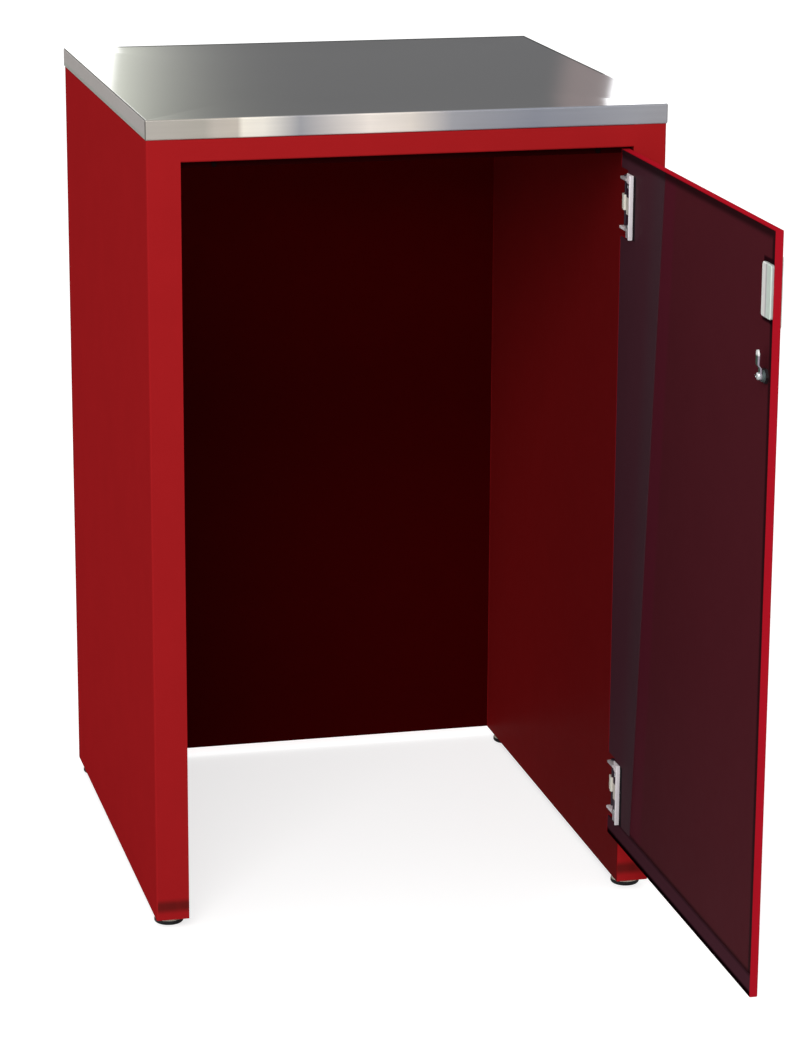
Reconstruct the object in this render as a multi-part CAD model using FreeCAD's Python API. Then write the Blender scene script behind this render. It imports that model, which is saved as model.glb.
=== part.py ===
# Side locker for a tool chest: a double-walled steel cabinet, open below and in front, under a
# worktop wrapped in stainless steel, with one inset door hung on the right.
# Frame: X to the right, Y to the back, Z up. The origin is on the floor, under the cabinet's middle.
# The door is modelled closed and then swung open about its hinge pins, which is its rest pose.
import FreeCAD, Part
import math
import os
from FreeCAD import Vector

# ---- Driving dimensions, in millimetres ----

# Whole locker
worktop_width = 610.0
worktop_depth = 610.0
worktop_height = 965.0        # floor to the working surface

# Worktop
worktop_band = 23.0           # height of the wrapped edge
worktop_sheet = 1.2           # stainless sheet
worktop_proud = 1.0           # how far the worktop stands out past the cabinet on each side
worktop_return = 18.0         # width of the sheet's fold under the board
worktop_fold_radius = 0.6     # inside radius of the wrapped edges
board_edge_relief = 0.5       # extra rounding of the board's edges inside the folds

# Cabinet sheet metal
sheet = 1.2
fold_radius = 1.0             # inside radius of every fold
wall_width = 39.0             # double side wall, which is also the front post
liner_flange = 30.0           # fold of the inner wall behind the post and at the rear
header_height = 26.0          # face above the door
header_depth = 35.0           # fold of the header under the worktop
stop_drop = 8.0               # lip of the header that stops the door
stop_gap = 2.0                # space between the closed door and the lip, for the bumpers
rail_height = 40.0            # rear rail, down the back panel
rail_depth = 30.0             # rear rail, under the worktop
channel_height = 15.0         # flanges of the channels that close the double walls
channel_end_gap = 3.0         # from a channel's end to the folds of the inner wall
back_inset = 2.0              # back panel's edge inside the cabinet's corner

# Levelling feet
foot_inset = 30.0             # from the cabinet's front or rear to a foot's axis
stud_radius = 4.0
stud_length = 32.0            # above the foot's cap
foot_pad_radius = 17.5
foot_pad_height = 5.0
foot_pad_rim = 2.0            # pad outside its cap
foot_cap_height = 2.5
foot_pad_edge = 1.2           # chamfer around the pad's underside
lock_nut_height = 4.2
lock_nut_gap = 0.3            # between a foot's lock nut and the sole
weld_nut_height = 6.5
foot_nut_flats = 13.0
stud_hole_clearance = 0.5     # hole in the sole around a stud

# Door
door_foot = 63.5              # from the cabinet's lower edge up to the door's foot
door_thickness = 9.0
door_gap = 2.5                # around the door's top and sides
door_sheet = 1.0
door_edge_radius = 1.5        # rounding of the outer face's edges
door_recess = 1.0             # inner panel below the edge of the folds
door_bottom_return = 25.0     # fold along the bottom of the inner face
panel_gap = 0.2               # around the inner panel and the stiffener
stiffener_top = 160.0         # width of the hinge-side stiffener at its top
stiffener_foot = 88.0         # and at its foot
hat_width = 60.0              # crown of a hat section inside the door
hat_brim = 12.0
hat_spacing = 150.0           # between the two hat sections' centre lines
hat_end_gap = 30.0            # from a hat section's end to the door's top and bottom
door_open_angle = 90.0        # rest pose

# Hinges
pin_inset = 4.5               # pin axis from the door's hinge edge, and from its outer face
pin_radius = 1.5
pin_head_radius = 2.4
pin_head_height = 1.5
hinge_inset = 62.0            # hinge centre from the door's top and bottom
leaf_height = 75.0
leaf_width = 20.0
leaf_setback = 27.0           # from the door's hinge edge to the leaf's strip
leaf_thickness = 2.0
leaf_lip = 5.0                # raised far edge of the strip, above the door's inner face
ear_thickness = 3.0
ear_inset = 7.0               # from the strip's ends to its ears
ear_clearance = 0.3           # between an ear and the door's panels
barrel_clearance = 0.5        # between the bracket's barrel and the outer panel
arm_height = 18.0
arm_thickness = 2.5
arm_gap = 2.5                 # behind the closed door's inner face
bracket_plate_depth = 30.0
bracket_plate_height = 50.0
arm_slot_clearance = 0.5
pocket_margin = 1.0           # panel between the strip and the pocket in the door's inner face
pocket_end = 3.0              # pocket above and below the leaf

# Recessed pull
pull_edge_gap = 1.5           # from the door's free edge to the face plate
pull_drop = 65.5              # pull centre below the door's top
pull_width = 28.0
pull_height = 57.0
pull_proud = 2.3              # how far the cup stands out behind the door
pull_wall = 1.2
pull_floor = 1.8
pull_lip = 7.6                # lip of the face plate over the cup, on the free edge's side
pull_corner = 3.0
pull_back_chamfer = 0.8
bezel_side_rim = 2.0          # face plate beyond the cup at its sides
bezel_end_rim = 9.5           # and at its ends, which take the screws
bezel_thickness = 1.2
bezel_corner = 4.0
aperture_clearance = 0.2

# Cam lock
lock_setback = 17.4           # lock axis from the door's free edge
lock_drop = 155.0             # lock axis below the door's top
lock_radius = 6.0
lock_flange_radius = 9.0
lock_flange_height = 1.8
lock_nut_flats = 15.0
lock_nut_depth = 3.0
lock_past_nut = 2.5           # end of the lock's body beyond its nut
plug_radius = 3.9
plug_tail_radius = 2.5
plug_end_gap = 0.3            # between the lock's body and the cam
keyway_width = 1.6
keyway_height = 5.0
keyway_depth = 6.0
cam_length = 28.0
cam_width = 9.0
cam_thickness = 2.0
cam_joggle = 3.0
cam_joggle_start = 10.0
cam_joggle_end = 14.0
cam_slot_clearance = 1.0
cam_screw_head_radius = 4.0
cam_screw_head_height = 3.0
cam_screw_radius = 1.5
cam_screw_length = 6.0

# Screws and small parts
screw_radius = 2.0
screw_head_radius = 4.0
screw_head_height = 2.2
back_screw_length = 8.0
back_screw_rows = 5
back_screw_end = 60.0         # from the cabinet's top and bottom to the end screws
rail_screw_spacing = 200.0
worktop_screw_length = 16.0
worktop_screw_inset = 85.0    # from the opening's sides to the outer worktop screws
leaf_screw_radius = 1.5
leaf_screw_head_radius = 3.2
leaf_screw_head_height = 1.2
leaf_screw_length = 6.0
leaf_screw_gap = 1.3          # between a leaf screw's head and the ear beside it
bezel_screw_radius = 1.2
bezel_screw_head_radius = 2.4
bezel_screw_head_height = 1.0
bezel_screw_length = 4.5
bumper_radius = 3.2
bumper_inset = 40.0           # from the opening's side to a bumper
bumper_clearance = 0.3        # between a bumper and the closed door
fit = 0.05                    # radial running clearance of pins, studs and screws
head_rounding = 0.6           # share of a low screw head's height that is rounded off
cut_past = 2.0                # how far a cutting shape runs on past what it cuts

# ---- Places that follow from them ----

half_width = worktop_width / 2 - worktop_proud
half_depth = worktop_depth / 2 - worktop_proud
foot_cap_top = foot_pad_height + foot_cap_height
body_bottom = foot_cap_top + lock_nut_height + lock_nut_gap
body_top = worktop_height - worktop_band
body_height = body_top - body_bottom
opening_half = half_width - wall_width
opening_top = body_top - header_height
front = -half_depth
rear_inside = half_depth - sheet
wall_middle = opening_half + wall_width / 2
worktop_screw_line = worktop_depth / 2 - worktop_return / 2

door_half = opening_half - door_gap
door_top = opening_top - door_gap
door_bottom = body_bottom + door_foot
door_back = front + door_thickness
panel_face = door_back - door_recess
pin_x = door_half - pin_inset
pin_y = front + pin_inset
hinge_heights = {"upper": door_top - hinge_inset, "lower": door_bottom + hinge_inset}
strip_middle = door_half - leaf_setback - leaf_width / 2
ear_radius = pin_inset - door_sheet - ear_clearance
ear_reach = leaf_height / 2 - ear_inset
leaf_screw_reach = ear_reach - ear_thickness - leaf_screw_gap - leaf_screw_head_radius
barrel_radius = pin_inset - door_sheet - barrel_clearance
arm_front = door_back + arm_gap
arm_back = arm_front + arm_thickness

bezel_width = pull_width + 2 * bezel_side_rim
bezel_height = pull_height + 2 * bezel_end_rim
pull_back = door_back + pull_proud
pull_x = -door_half + pull_edge_gap + bezel_width / 2
pull_z = door_top - pull_drop
lock_x = -door_half + lock_setback
lock_z = door_top - lock_drop
lock_end = panel_face + lock_nut_depth + lock_past_nut
cam_face = lock_end + plug_end_gap

foot_cap_radius = foot_pad_radius - foot_pad_rim
foot_places = {
    "front_left": (-wall_middle, front + foot_inset),
    "front_right": (wall_middle, front + foot_inset),
    "rear_left": (-wall_middle, half_depth - foot_inset),
    "rear_right": (wall_middle, half_depth - foot_inset),
}

right = Vector(1, 0, 0)
back = Vector(0, 1, 0)
up = Vector(0, 0, 1)


# ---- Shapes that the parts share ----

def block(low, high):
    """Box between two corners."""
    size = Vector(*high) - Vector(*low)
    return Part.makeBox(size.x, size.y, size.z, Vector(*low))


def rod(radius, start, direction, length):
    return Part.makeCylinder(radius, length, Vector(*start), direction)


def hexagon(flats, start, direction, height):
    """Hexagonal prism, flats apart across its sides, standing on start along direction."""
    turn = FreeCAD.Rotation(up, direction)
    reach = flats / math.sqrt(3)
    corners = []
    for side in range(7):
        angle = math.radians(60 * side)
        spoke = Vector(reach * math.cos(angle), reach * math.sin(angle), 0)
        corners.append(Vector(*start) + turn.multVec(spoke))
    return Part.Face(Part.makePolygon(corners)).extrude(direction * height)


def rounded_line(points, radii):
    """Edges along an open line whose inner corners are rounded by tangent arcs."""
    edges = []
    last = points[0]
    for before, corner, after, radius in zip(points, points[1:], points[2:], radii):
        to_before = (before - corner).normalize()
        to_after = (after - corner).normalize()
        half_angle = to_before.getAngle(to_after) / 2
        reach = radius / math.tan(half_angle)
        inward = (to_before + to_after).normalize()
        middle = corner + inward * (radius / math.sin(half_angle) - radius)
        end = corner + to_after * reach
        start = corner + to_before * reach
        edges.append(Part.makeLine(last, start))
        edges.append(Part.Arc(start, middle, end).toShape())
        last = end
    edges.append(Part.makeLine(last, points[-1]))
    return edges


def folded_sheet(corners, thickness, radius, normal, run):
    """Sheet folded along the corners of one face and extruded along normal.

    Seen with normal towards the eye, the metal lies to the left of the walk along the corners.
    """
    near = [Vector(*corner) for corner in corners]
    steps = [(b - a).normalize() for a, b in zip(near, near[1:])]
    sides = [normal.cross(step) for step in steps]
    far = [near[0] + sides[0] * thickness]
    near_radii = []
    far_radii = []
    for corner, side, next_side, step in zip(near[1:], sides, sides[1:], steps):
        far.append(corner + (side + next_side) * (thickness / (1 + side.dot(next_side))))
        turns_left = step.dot(next_side) < 0
        near_radii.append(radius + thickness if turns_left else radius)
        far_radii.append(radius if turns_left else radius + thickness)
    far.append(near[-1] + sides[-1] * thickness)
    edges = rounded_line(near, near_radii)
    edges.append(Part.makeLine(near[-1], far[-1]))
    edges += rounded_line(far[::-1], far_radii[::-1])
    edges.append(Part.makeLine(far[0], near[0]))
    return Part.Face(Part.Wire(edges)).extrude(normal * run)


def mirrored(shape):
    """The left-hand partner of a right-hand part."""
    return shape.mirror(Vector(0, 0, 0), right)


def swung(shape):
    """A door part turned from its closed place to the rest pose."""
    turned = shape.copy()
    turned.rotate(Vector(pin_x, pin_y, 0), up, door_open_angle)
    return turned


def pan_screw(start, direction, length):
    """Screw whose head's underside is at start; direction points along its shank."""
    shank = rod(screw_radius, start, direction, length)
    head_start = Vector(*start) - direction * screw_head_height
    head = rod(screw_head_radius, head_start, direction, screw_head_height)
    rim = [edge for edge in head.Edges if (edge.CenterOfMass - head_start).Length < fit]
    return head.makeFillet(screw_head_height / 2, rim).fuse(shank).removeSplitter()


def edges_along(shape, direction, keep=lambda edge: True):
    """Straight edges of a shape that run along direction and pass keep."""
    found = []
    for edge in shape.Edges:
        if edge.Curve.TypeId != "Part::GeomLine":
            continue
        if abs(abs(edge.tangentAt(edge.FirstParameter).dot(direction)) - 1) < 1e-6 and keep(edge):
            found.append(edge)
    return found


def rounded_block(low, high, radius, direction=back):
    """Box with the four edges along direction rounded."""
    plain = block(low, high)
    return plain.makeFillet(radius, edges_along(plain, direction))


# ---- Cabinet ----

def outer_side():
    """Right outer wall, folded round into the front post's face and the rear flange."""
    corners = [
        (opening_half, front, body_bottom),
        (half_width, front, body_bottom),
        (half_width, rear_inside, body_bottom),
        (opening_half, rear_inside, body_bottom),
    ]
    wall = folded_sheet(corners, sheet, fold_radius, up, body_height)
    for row in range(back_screw_rows):
        hole_start = (wall_middle, rear_inside - sheet - cut_past, back_screw_height(row))
        wall = wall.cut(rod(screw_radius + fit, hole_start, back, sheet + 2 * cut_past))
    return wall


def inner_side():
    """Right inner wall, flush with the post's inner edge, folded behind the post and at the rear."""
    corners = [
        (opening_half + liner_flange, rear_inside - sheet, body_bottom),
        (opening_half, rear_inside - sheet, body_bottom),
        (opening_half, front + sheet, body_bottom),
        (opening_half + liner_flange, front + sheet, body_bottom),
    ]
    wall = folded_sheet(corners, sheet, fold_radius, up, body_height)
    for row in range(back_screw_rows):
        hole_start = (wall_middle, rear_inside - 2 * sheet - cut_past, back_screw_height(row))
        wall = wall.cut(rod(screw_radius + fit, hole_start, back, sheet + 2 * cut_past))
    return wall


def hinge_side_inner():
    """Right inner wall with a slot for each hinge arm."""
    wall = inner_side()
    slot_front = arm_front - arm_slot_clearance
    slot_back = arm_back + arm_slot_clearance
    slot_half = arm_height / 2 + arm_slot_clearance
    for height in hinge_heights.values():
        low = (opening_half - cut_past, slot_front, height - slot_half)
        high = (opening_half + sheet + cut_past, slot_back, height + slot_half)
        wall = wall.cut(block(low, high))
    return wall


def lock_side_inner():
    """Left inner wall with the slot that the lock's cam turns into."""
    cam_gap = lock_x + opening_half
    tip_rise = math.sqrt(max(cam_length ** 2 - cam_gap ** 2, 0))
    slot_low = lock_z - cam_width / 2 - cam_slot_clearance
    slot_high = lock_z + tip_rise + cam_width / 2 + cam_slot_clearance
    slot_front = cam_face + cam_joggle - cam_slot_clearance
    slot_back = cam_face + cam_joggle + cam_thickness + cam_slot_clearance
    low = (-opening_half - sheet - cut_past, slot_front, slot_low)
    high = (-opening_half + cut_past, slot_back, slot_high)
    return mirrored(inner_side()).cut(block(low, high))


def channel_walls():
    """X of the two inside faces of the right double wall."""
    return opening_half + sheet, half_width - sheet


def channel_span():
    """Y of a channel's front and rear ends."""
    return front + 2 * sheet + channel_end_gap, rear_inside - 2 * sheet - channel_end_gap


def sole_channel():
    """Channel that closes the right double wall below and carries its two feet."""
    inner_x, outer_x = channel_walls()
    first_y, last_y = channel_span()
    flange_top = body_bottom + channel_height
    corners = [
        (inner_x, last_y, flange_top),
        (inner_x, last_y, body_bottom),
        (outer_x, last_y, body_bottom),
        (outer_x, last_y, flange_top),
    ]
    channel = folded_sheet(corners, sheet, fold_radius, -back, last_y - first_y)
    for name in ("front_right", "rear_right"):
        x, y = foot_places[name]
        hole_start = (x, y, body_bottom - cut_past)
        hole = rod(stud_radius + stud_hole_clearance, hole_start, up, sheet + 2 * cut_past)
        channel = channel.cut(hole)
    return channel


def top_channel():
    """Channel that closes the right double wall above, under the worktop."""
    inner_x, outer_x = channel_walls()
    first_y, last_y = channel_span()
    flange_foot = body_top - channel_height
    corners = [
        (inner_x, first_y, flange_foot),
        (inner_x, first_y, body_top),
        (outer_x, first_y, body_top),
        (outer_x, first_y, flange_foot),
    ]
    return folded_sheet(corners, sheet, fold_radius, back, last_y - first_y)


def header_rail():
    """Rail above the door: stop lip, underside, front face and a top fold under the worktop."""
    lip_y = door_back + stop_gap
    corners = [
        (opening_half, lip_y, opening_top - stop_drop),
        (opening_half, lip_y, opening_top),
        (opening_half, front, opening_top),
        (opening_half, front, body_top),
        (opening_half, front + header_depth, body_top),
    ]
    rail = folded_sheet(corners, sheet, fold_radius, -right, 2 * opening_half)
    for x in worktop_screw_places():
        hole_start = (x, -worktop_screw_line, body_top - sheet - cut_past)
        rail = rail.cut(rod(screw_radius + fit, hole_start, up, sheet + 2 * cut_past))
    return rail


def rear_rail():
    """Angle along the top of the back panel, under the worktop."""
    corners = [
        (-opening_half, rear_inside, body_top - rail_height),
        (-opening_half, rear_inside, body_top),
        (-opening_half, rear_inside - rail_depth, body_top),
    ]
    rail = folded_sheet(corners, sheet, fold_radius, right, 2 * opening_half)
    for x in worktop_screw_places():
        hole_start = (x, worktop_screw_line, body_top - sheet - cut_past)
        rail = rail.cut(rod(screw_radius + fit, hole_start, up, sheet + 2 * cut_past))
    for x in rail_screw_places():
        hole_start = (x, rear_inside - sheet - cut_past, body_top - rail_height / 2)
        rail = rail.cut(rod(screw_radius + fit, hole_start, back, sheet + 2 * cut_past))
    return rail


def back_panel():
    """Flat sheet screwed on from behind."""
    edge = half_width - back_inset
    panel = block((-edge, rear_inside, body_bottom), (edge, half_depth, body_top - back_inset))
    for x, z in back_screw_places():
        hole_start = (x, rear_inside - cut_past, z)
        panel = panel.cut(rod(screw_radius + fit, hole_start, back, sheet + 2 * cut_past))
    return panel


def back_screw_height(row):
    """Height of a row of the screws up each side of the back panel."""
    lowest = body_bottom + back_screw_end
    highest = body_top - back_screw_end
    return lowest + (highest - lowest) * row / (back_screw_rows - 1)


def rail_screw_places():
    return [-rail_screw_spacing, 0.0, rail_screw_spacing]


def back_screw_places():
    """X and Z of every screw in the back panel."""
    places = [(x, body_top - rail_height / 2) for x in rail_screw_places()]
    for row in range(back_screw_rows):
        places.append((-wall_middle, back_screw_height(row)))
        places.append((wall_middle, back_screw_height(row)))
    return places


def back_panel_screws():
    screws = []
    for x, z in back_screw_places():
        screws.append(pan_screw((x, half_depth, z), -back, back_screw_length))
    return Part.makeCompound(screws)


# ---- Worktop ----

def worktop_shell(grow, bottom, radius):
    """Box of the worktop's outline, grow smaller on each side and above, its upper edges rounded."""
    half_x = worktop_width / 2 - grow
    half_y = worktop_depth / 2 - grow
    top = worktop_height - grow
    plain = block((-half_x, -half_y, bottom), (half_x, half_y, top))
    rounded = edges_along(plain, up)
    for direction in (right, back):
        rounded += edges_along(plain, direction, lambda edge: edge.CenterOfMass.z > top - fit)
    return plain.makeFillet(radius, rounded)


def worktop_skin():
    """Stainless sheet wrapped over the board and folded in under its edges."""
    outside = worktop_shell(0, body_top, worktop_fold_radius + worktop_sheet)
    inside = worktop_shell(worktop_sheet, body_top + worktop_sheet, worktop_fold_radius)
    window_x = worktop_width / 2 - worktop_return
    window_y = worktop_depth / 2 - worktop_return
    low = (-window_x, -window_y, body_top - cut_past)
    high = (window_x, window_y, body_top + worktop_sheet + cut_past)
    skin = outside.cut(inside).cut(block(low, high))
    for x, y in worktop_screw_points():
        hole_start = (x, y, body_top - cut_past)
        skin = skin.cut(rod(screw_radius + fit, hole_start, up, worktop_sheet + 2 * cut_past))
    return skin


def worktop_board():
    """Wooden core that fills the wrapped sheet."""
    board_bottom = body_top + worktop_sheet
    radius = worktop_fold_radius + board_edge_relief
    board = worktop_shell(worktop_sheet, board_bottom, radius)
    for x, y in worktop_screw_points():
        hole_start = (x, y, board_bottom - cut_past)
        board = board.cut(rod(screw_radius + fit, hole_start, up, worktop_screw_length + cut_past))
    return board


def worktop_screw_places():
    reach = opening_half - worktop_screw_inset
    return [-reach, 0.0, reach]


def worktop_screw_points():
    """X and Y of every worktop screw, along the front and the rear."""
    lines = (-worktop_screw_line, worktop_screw_line)
    return [(x, y) for y in lines for x in worktop_screw_places()]


def worktop_screws():
    screws = []
    for x, y in worktop_screw_points():
        screws.append(pan_screw((x, y, body_top - sheet), up, worktop_screw_length))
    return Part.makeCompound(screws)


# ---- Levelling feet ----

def weld_nuts():
    """Nuts welded on the soles, one above each foot."""
    nuts = []
    for x, y in foot_places.values():
        bottom = body_bottom + sheet
        nut = hexagon(foot_nut_flats, (x, y, bottom), up, weld_nut_height)
        bore = rod(stud_radius + fit, (x, y, bottom - cut_past), up, weld_nut_height + 2 * cut_past)
        nuts.append(nut.cut(bore))
    return Part.makeCompound(nuts)


def foot_stud(x, y):
    """Threaded stud with a round cap pressed over the pad."""
    cap = rod(foot_cap_radius, (x, y, foot_pad_height), up, foot_cap_height)
    rim = [edge for edge in cap.Edges if abs(edge.CenterOfMass.z - foot_cap_top) < fit]
    cap = cap.makeFillet(foot_cap_height / 3, rim)
    stud = rod(stud_radius, (x, y, foot_cap_top), up, stud_length)
    tip = [edge for edge in stud.Edges
           if edge.Closed and abs(edge.CenterOfMass.z - foot_cap_top - stud_length) < fit]
    return cap.fuse(stud.makeChamfer(stud_radius / 4, tip)).removeSplitter()


def foot_pad(x, y):
    pad = rod(foot_pad_radius, (x, y, 0), up, foot_pad_height)
    rim = [edge for edge in pad.Edges if edge.Closed and edge.CenterOfMass.z < fit]
    return pad.makeChamfer(foot_pad_edge, rim)


def foot_lock_nut(x, y):
    nut = hexagon(foot_nut_flats, (x, y, foot_cap_top), up, lock_nut_height)
    bore_start = (x, y, foot_cap_top - cut_past)
    bore = rod(stud_radius + fit, bore_start, up, lock_nut_height + 2 * cut_past)
    return nut.cut(bore)


# ---- Door, modelled closed ----

def hinge_pockets():
    """Space in the door's inner face and hinge edge that the hinges work in."""
    pockets = []
    for height in hinge_heights.values():
        reach = leaf_height / 2 + pocket_end
        low = (door_half - leaf_setback + pocket_margin, front + door_sheet, height - reach)
        high = (door_half + door_gap, door_back + door_gap, height + reach)
        pockets.append(block(low, high))
    return Part.makeCompound(pockets)


def pull_aperture():
    half_x = pull_width / 2 + aperture_clearance
    half_z = pull_height / 2 + aperture_clearance
    low = (pull_x - half_x, front - cut_past, pull_z - half_z)
    high = (pull_x + half_x, door_back + cut_past, pull_z + half_z)
    return rounded_block(low, high, pull_corner + aperture_clearance)


def lock_hole():
    start = (lock_x, front - cut_past, lock_z)
    return rod(lock_radius + aperture_clearance, start, back, door_thickness + 2 * cut_past)


def leaf_screw_points():
    """X and Z of the screws of both hinge leaves."""
    points = []
    for height in hinge_heights.values():
        for side in (-1, 1):
            points.append((strip_middle, height + side * leaf_screw_reach))
    return points


def leaf_screw_holes():
    holes = []
    for x, z in leaf_screw_points():
        start = (x, front + 2 * door_sheet, z)
        holes.append(rod(leaf_screw_radius + fit, start, back, 2 * door_thickness))
    return Part.makeCompound(holes)


def bezel_screw_points():
    reach = (pull_height + bezel_height) / 4
    return [(pull_x, pull_z - reach), (pull_x, pull_z + reach)]


def bezel_screw_holes():
    holes = []
    for x, z in bezel_screw_points():
        start = (x, front - bezel_thickness - cut_past, z)
        reach = bezel_thickness + door_sheet + 2 * cut_past
        holes.append(rod(bezel_screw_radius + fit, start, back, reach))
    return Part.makeCompound(holes)


def door_outer_panel():
    """Shallow pan: outer face, four folded edges and a return along the bottom."""
    outside = block((-door_half, front, door_bottom), (door_half, door_back, door_top))
    face_edges = []
    for direction in (right, up):
        face_edges += edges_along(outside, direction, lambda edge: edge.CenterOfMass.y < front + fit)
    outside = outside.makeFillet(door_edge_radius, face_edges)
    side = door_half - door_sheet
    low_inside = door_bottom + door_sheet
    high_inside = door_top - door_sheet
    lower_hollow = block((-side, front + door_sheet, low_inside), (side, panel_face, high_inside))
    mouth_low = (-side, front + door_sheet, door_bottom + door_bottom_return)
    mouth = block(mouth_low, (side, door_back + door_sheet, high_inside))
    pan = outside.cut(lower_hollow).cut(mouth)
    pan = pan.cut(hinge_pockets()).cut(pull_aperture()).cut(lock_hole())
    return pan.cut(bezel_screw_holes())


def door_inner_panel():
    """Flat panel inside the pan's edges, tucked behind the bottom return."""
    side = door_half - door_sheet - panel_gap
    low = (-side, panel_face - door_sheet, door_bottom + door_sheet + panel_gap)
    high = (side, panel_face, door_top - door_sheet - panel_gap)
    panel = block(low, high).cut(hinge_pockets()).cut(pull_aperture())
    return panel.cut(lock_hole()).cut(leaf_screw_holes())


def door_stiffener():
    """Plate over the inner panel's hinge side, wider at its top, that the hinge leaves sit on."""
    hinge_side = door_half - door_sheet - panel_gap
    top = door_top - door_sheet - panel_gap
    foot = door_bottom + door_bottom_return + panel_gap
    corners = [
        Vector(hinge_side, panel_face, foot),
        Vector(hinge_side, panel_face, top),
        Vector(door_half - stiffener_top, panel_face, top),
        Vector(door_half - stiffener_foot, panel_face, foot),
        Vector(hinge_side, panel_face, foot),
    ]
    plate = Part.Face(Part.makePolygon(corners)).extrude(back * door_recess)
    return plate.cut(hinge_pockets()).cut(leaf_screw_holes())


def door_hat(centre_x):
    """Hat section between the door's outer face and its inner panel."""
    crown_y = front + door_sheet
    brim_y = panel_face - door_sheet
    half_crown = hat_width / 2
    half_hat = half_crown + hat_brim
    low = door_bottom + hat_end_gap
    high = door_top - hat_end_gap
    corners = [
        (centre_x - half_hat, brim_y, low),
        (centre_x - half_crown, brim_y, low),
        (centre_x - half_crown, crown_y + door_sheet, low),
        (centre_x + half_crown, crown_y + door_sheet, low),
        (centre_x + half_crown, brim_y, low),
        (centre_x + half_hat, brim_y, low),
    ]
    return folded_sheet(corners[::-1], door_sheet, door_sheet / 2, up, high - low)


def ear_feet(height):
    """Undersides of the lower and the upper ear of the hinge at height."""
    return height - ear_reach, height + ear_reach - ear_thickness


def hinge_leaf(height):
    """Strip with a raised far edge on the door's inner face, and two ears that reach round the pin."""
    foot = height - leaf_height / 2
    near_x = door_half - leaf_setback
    far_x = near_x - leaf_width
    web_x = near_x + pocket_margin + ear_clearance
    eye_x = pin_x + ear_radius
    strip_top = door_back + leaf_thickness
    lip_top = door_back + leaf_lip
    leaf = block((far_x, door_back, foot), (near_x, strip_top, foot + leaf_height))
    leaf = leaf.fuse(block((far_x, door_back, foot), (far_x + leaf_thickness, lip_top, foot + leaf_height)))
    for ear_foot in ear_feet(height):
        ear_top = ear_foot + ear_thickness
        rib = block((far_x, door_back, ear_foot), (near_x, lip_top, ear_top))
        arm = block((near_x, door_back, ear_foot), (eye_x, strip_top, ear_top))
        web = block((web_x, pin_y, ear_foot), (eye_x, strip_top, ear_top))
        eye = rod(ear_radius, (pin_x, pin_y, ear_foot), up, ear_thickness)
        leaf = leaf.fuse(rib).fuse(arm).fuse(web).fuse(eye)
    bore = rod(pin_radius + fit, (pin_x, pin_y, foot - pocket_end), up, leaf_height + 2 * pocket_end)
    return leaf.removeSplitter().cut(bore).cut(leaf_screw_holes())


def hinge_pin(height):
    """Pin with a head at each end, outside the leaf's ears."""
    foot, upper_ear = ear_feet(height)
    top = upper_ear + ear_thickness
    pin = rod(pin_radius, (pin_x, pin_y, foot), up, top - foot)
    for head_foot in (foot - pin_head_height, top):
        pin = pin.fuse(rod(pin_head_radius, (pin_x, pin_y, head_foot), up, pin_head_height))
    return pin.removeSplitter()


def hinge_bracket(height):
    """Barrel, cranked arm through the inner wall's slot, and plate welded inside the double wall."""
    foot = height - arm_height / 2
    top = height + arm_height / 2
    arm_side = arm_thickness / 2
    wall_face = opening_half + sheet
    barrel = rod(barrel_radius, (pin_x, pin_y, foot), up, arm_height)
    arm = block((pin_x - arm_side, pin_y, foot), (pin_x + arm_side, arm_back, top))
    leg = block((pin_x - arm_side, arm_front, foot), (wall_face + arm_thickness, arm_back, top))
    plate_low = (wall_face, arm_front, height - bracket_plate_height / 2)
    plate_high = (wall_face + arm_thickness, arm_front + bracket_plate_depth,
                  height + bracket_plate_height / 2)
    bracket = barrel.fuse(arm).fuse(leg).fuse(block(plate_low, plate_high)).removeSplitter()
    bore_start = (pin_x, pin_y, foot - cut_past)
    return bracket.cut(rod(pin_radius + fit, bore_start, up, arm_height + 2 * cut_past))


def leaf_screws():
    """Low round-headed screws of both hinge leaves."""
    screws = []
    for x, z in leaf_screw_points():
        head_foot = door_back + leaf_thickness
        head = rod(leaf_screw_head_radius, (x, head_foot, z), back, leaf_screw_head_height)
        rim = [edge for edge in head.Edges
               if edge.Closed and edge.CenterOfMass.y > head_foot + fit]
        head = head.makeFillet(leaf_screw_head_height * head_rounding, rim)
        shank = rod(leaf_screw_radius, (x, head_foot, z), -back, leaf_screw_length)
        screws.append(head.fuse(shank).removeSplitter())
    return Part.makeCompound(screws)


def pull_cup():
    """Cup let into the door, with a face plate whose lip the fingers hook behind."""
    half_x = pull_width / 2
    half_z = pull_height / 2
    cup = rounded_block((pull_x - half_x, front, pull_z - half_z),
                        (pull_x + half_x, pull_back, pull_z + half_z), pull_corner)
    back_edges = [edge for edge in cup.Edges if edge.CenterOfMass.y > pull_back - fit]
    cup = cup.makeChamfer(pull_back_chamfer, back_edges)
    plate_low = (pull_x - bezel_width / 2, front - bezel_thickness, pull_z - bezel_height / 2)
    plate_high = (pull_x + bezel_width / 2, front, pull_z + bezel_height / 2)
    plate = rounded_block(plate_low, plate_high, bezel_corner)
    face_edges = [edge for edge in plate.Edges
                  if edge.CenterOfMass.y < front - bezel_thickness + fit]
    plate = plate.makeFillet(bezel_thickness / 2, face_edges)
    hollow_x = half_x - pull_wall
    hollow_z = half_z - pull_wall
    hollow = rounded_block((pull_x - hollow_x, front, pull_z - hollow_z),
                           (pull_x + hollow_x, pull_back - pull_floor, pull_z + hollow_z),
                           pull_corner - pull_wall)
    mouth_start = (pull_x - hollow_x + pull_lip, front - bezel_thickness - cut_past, pull_z - hollow_z)
    mouth = rounded_block(mouth_start, (pull_x + hollow_x, front + cut_past, pull_z + hollow_z),
                          pull_corner - pull_wall)
    pull = cup.fuse(plate).cut(hollow).cut(mouth).removeSplitter()
    return pull.cut(bezel_screw_holes())


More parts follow.
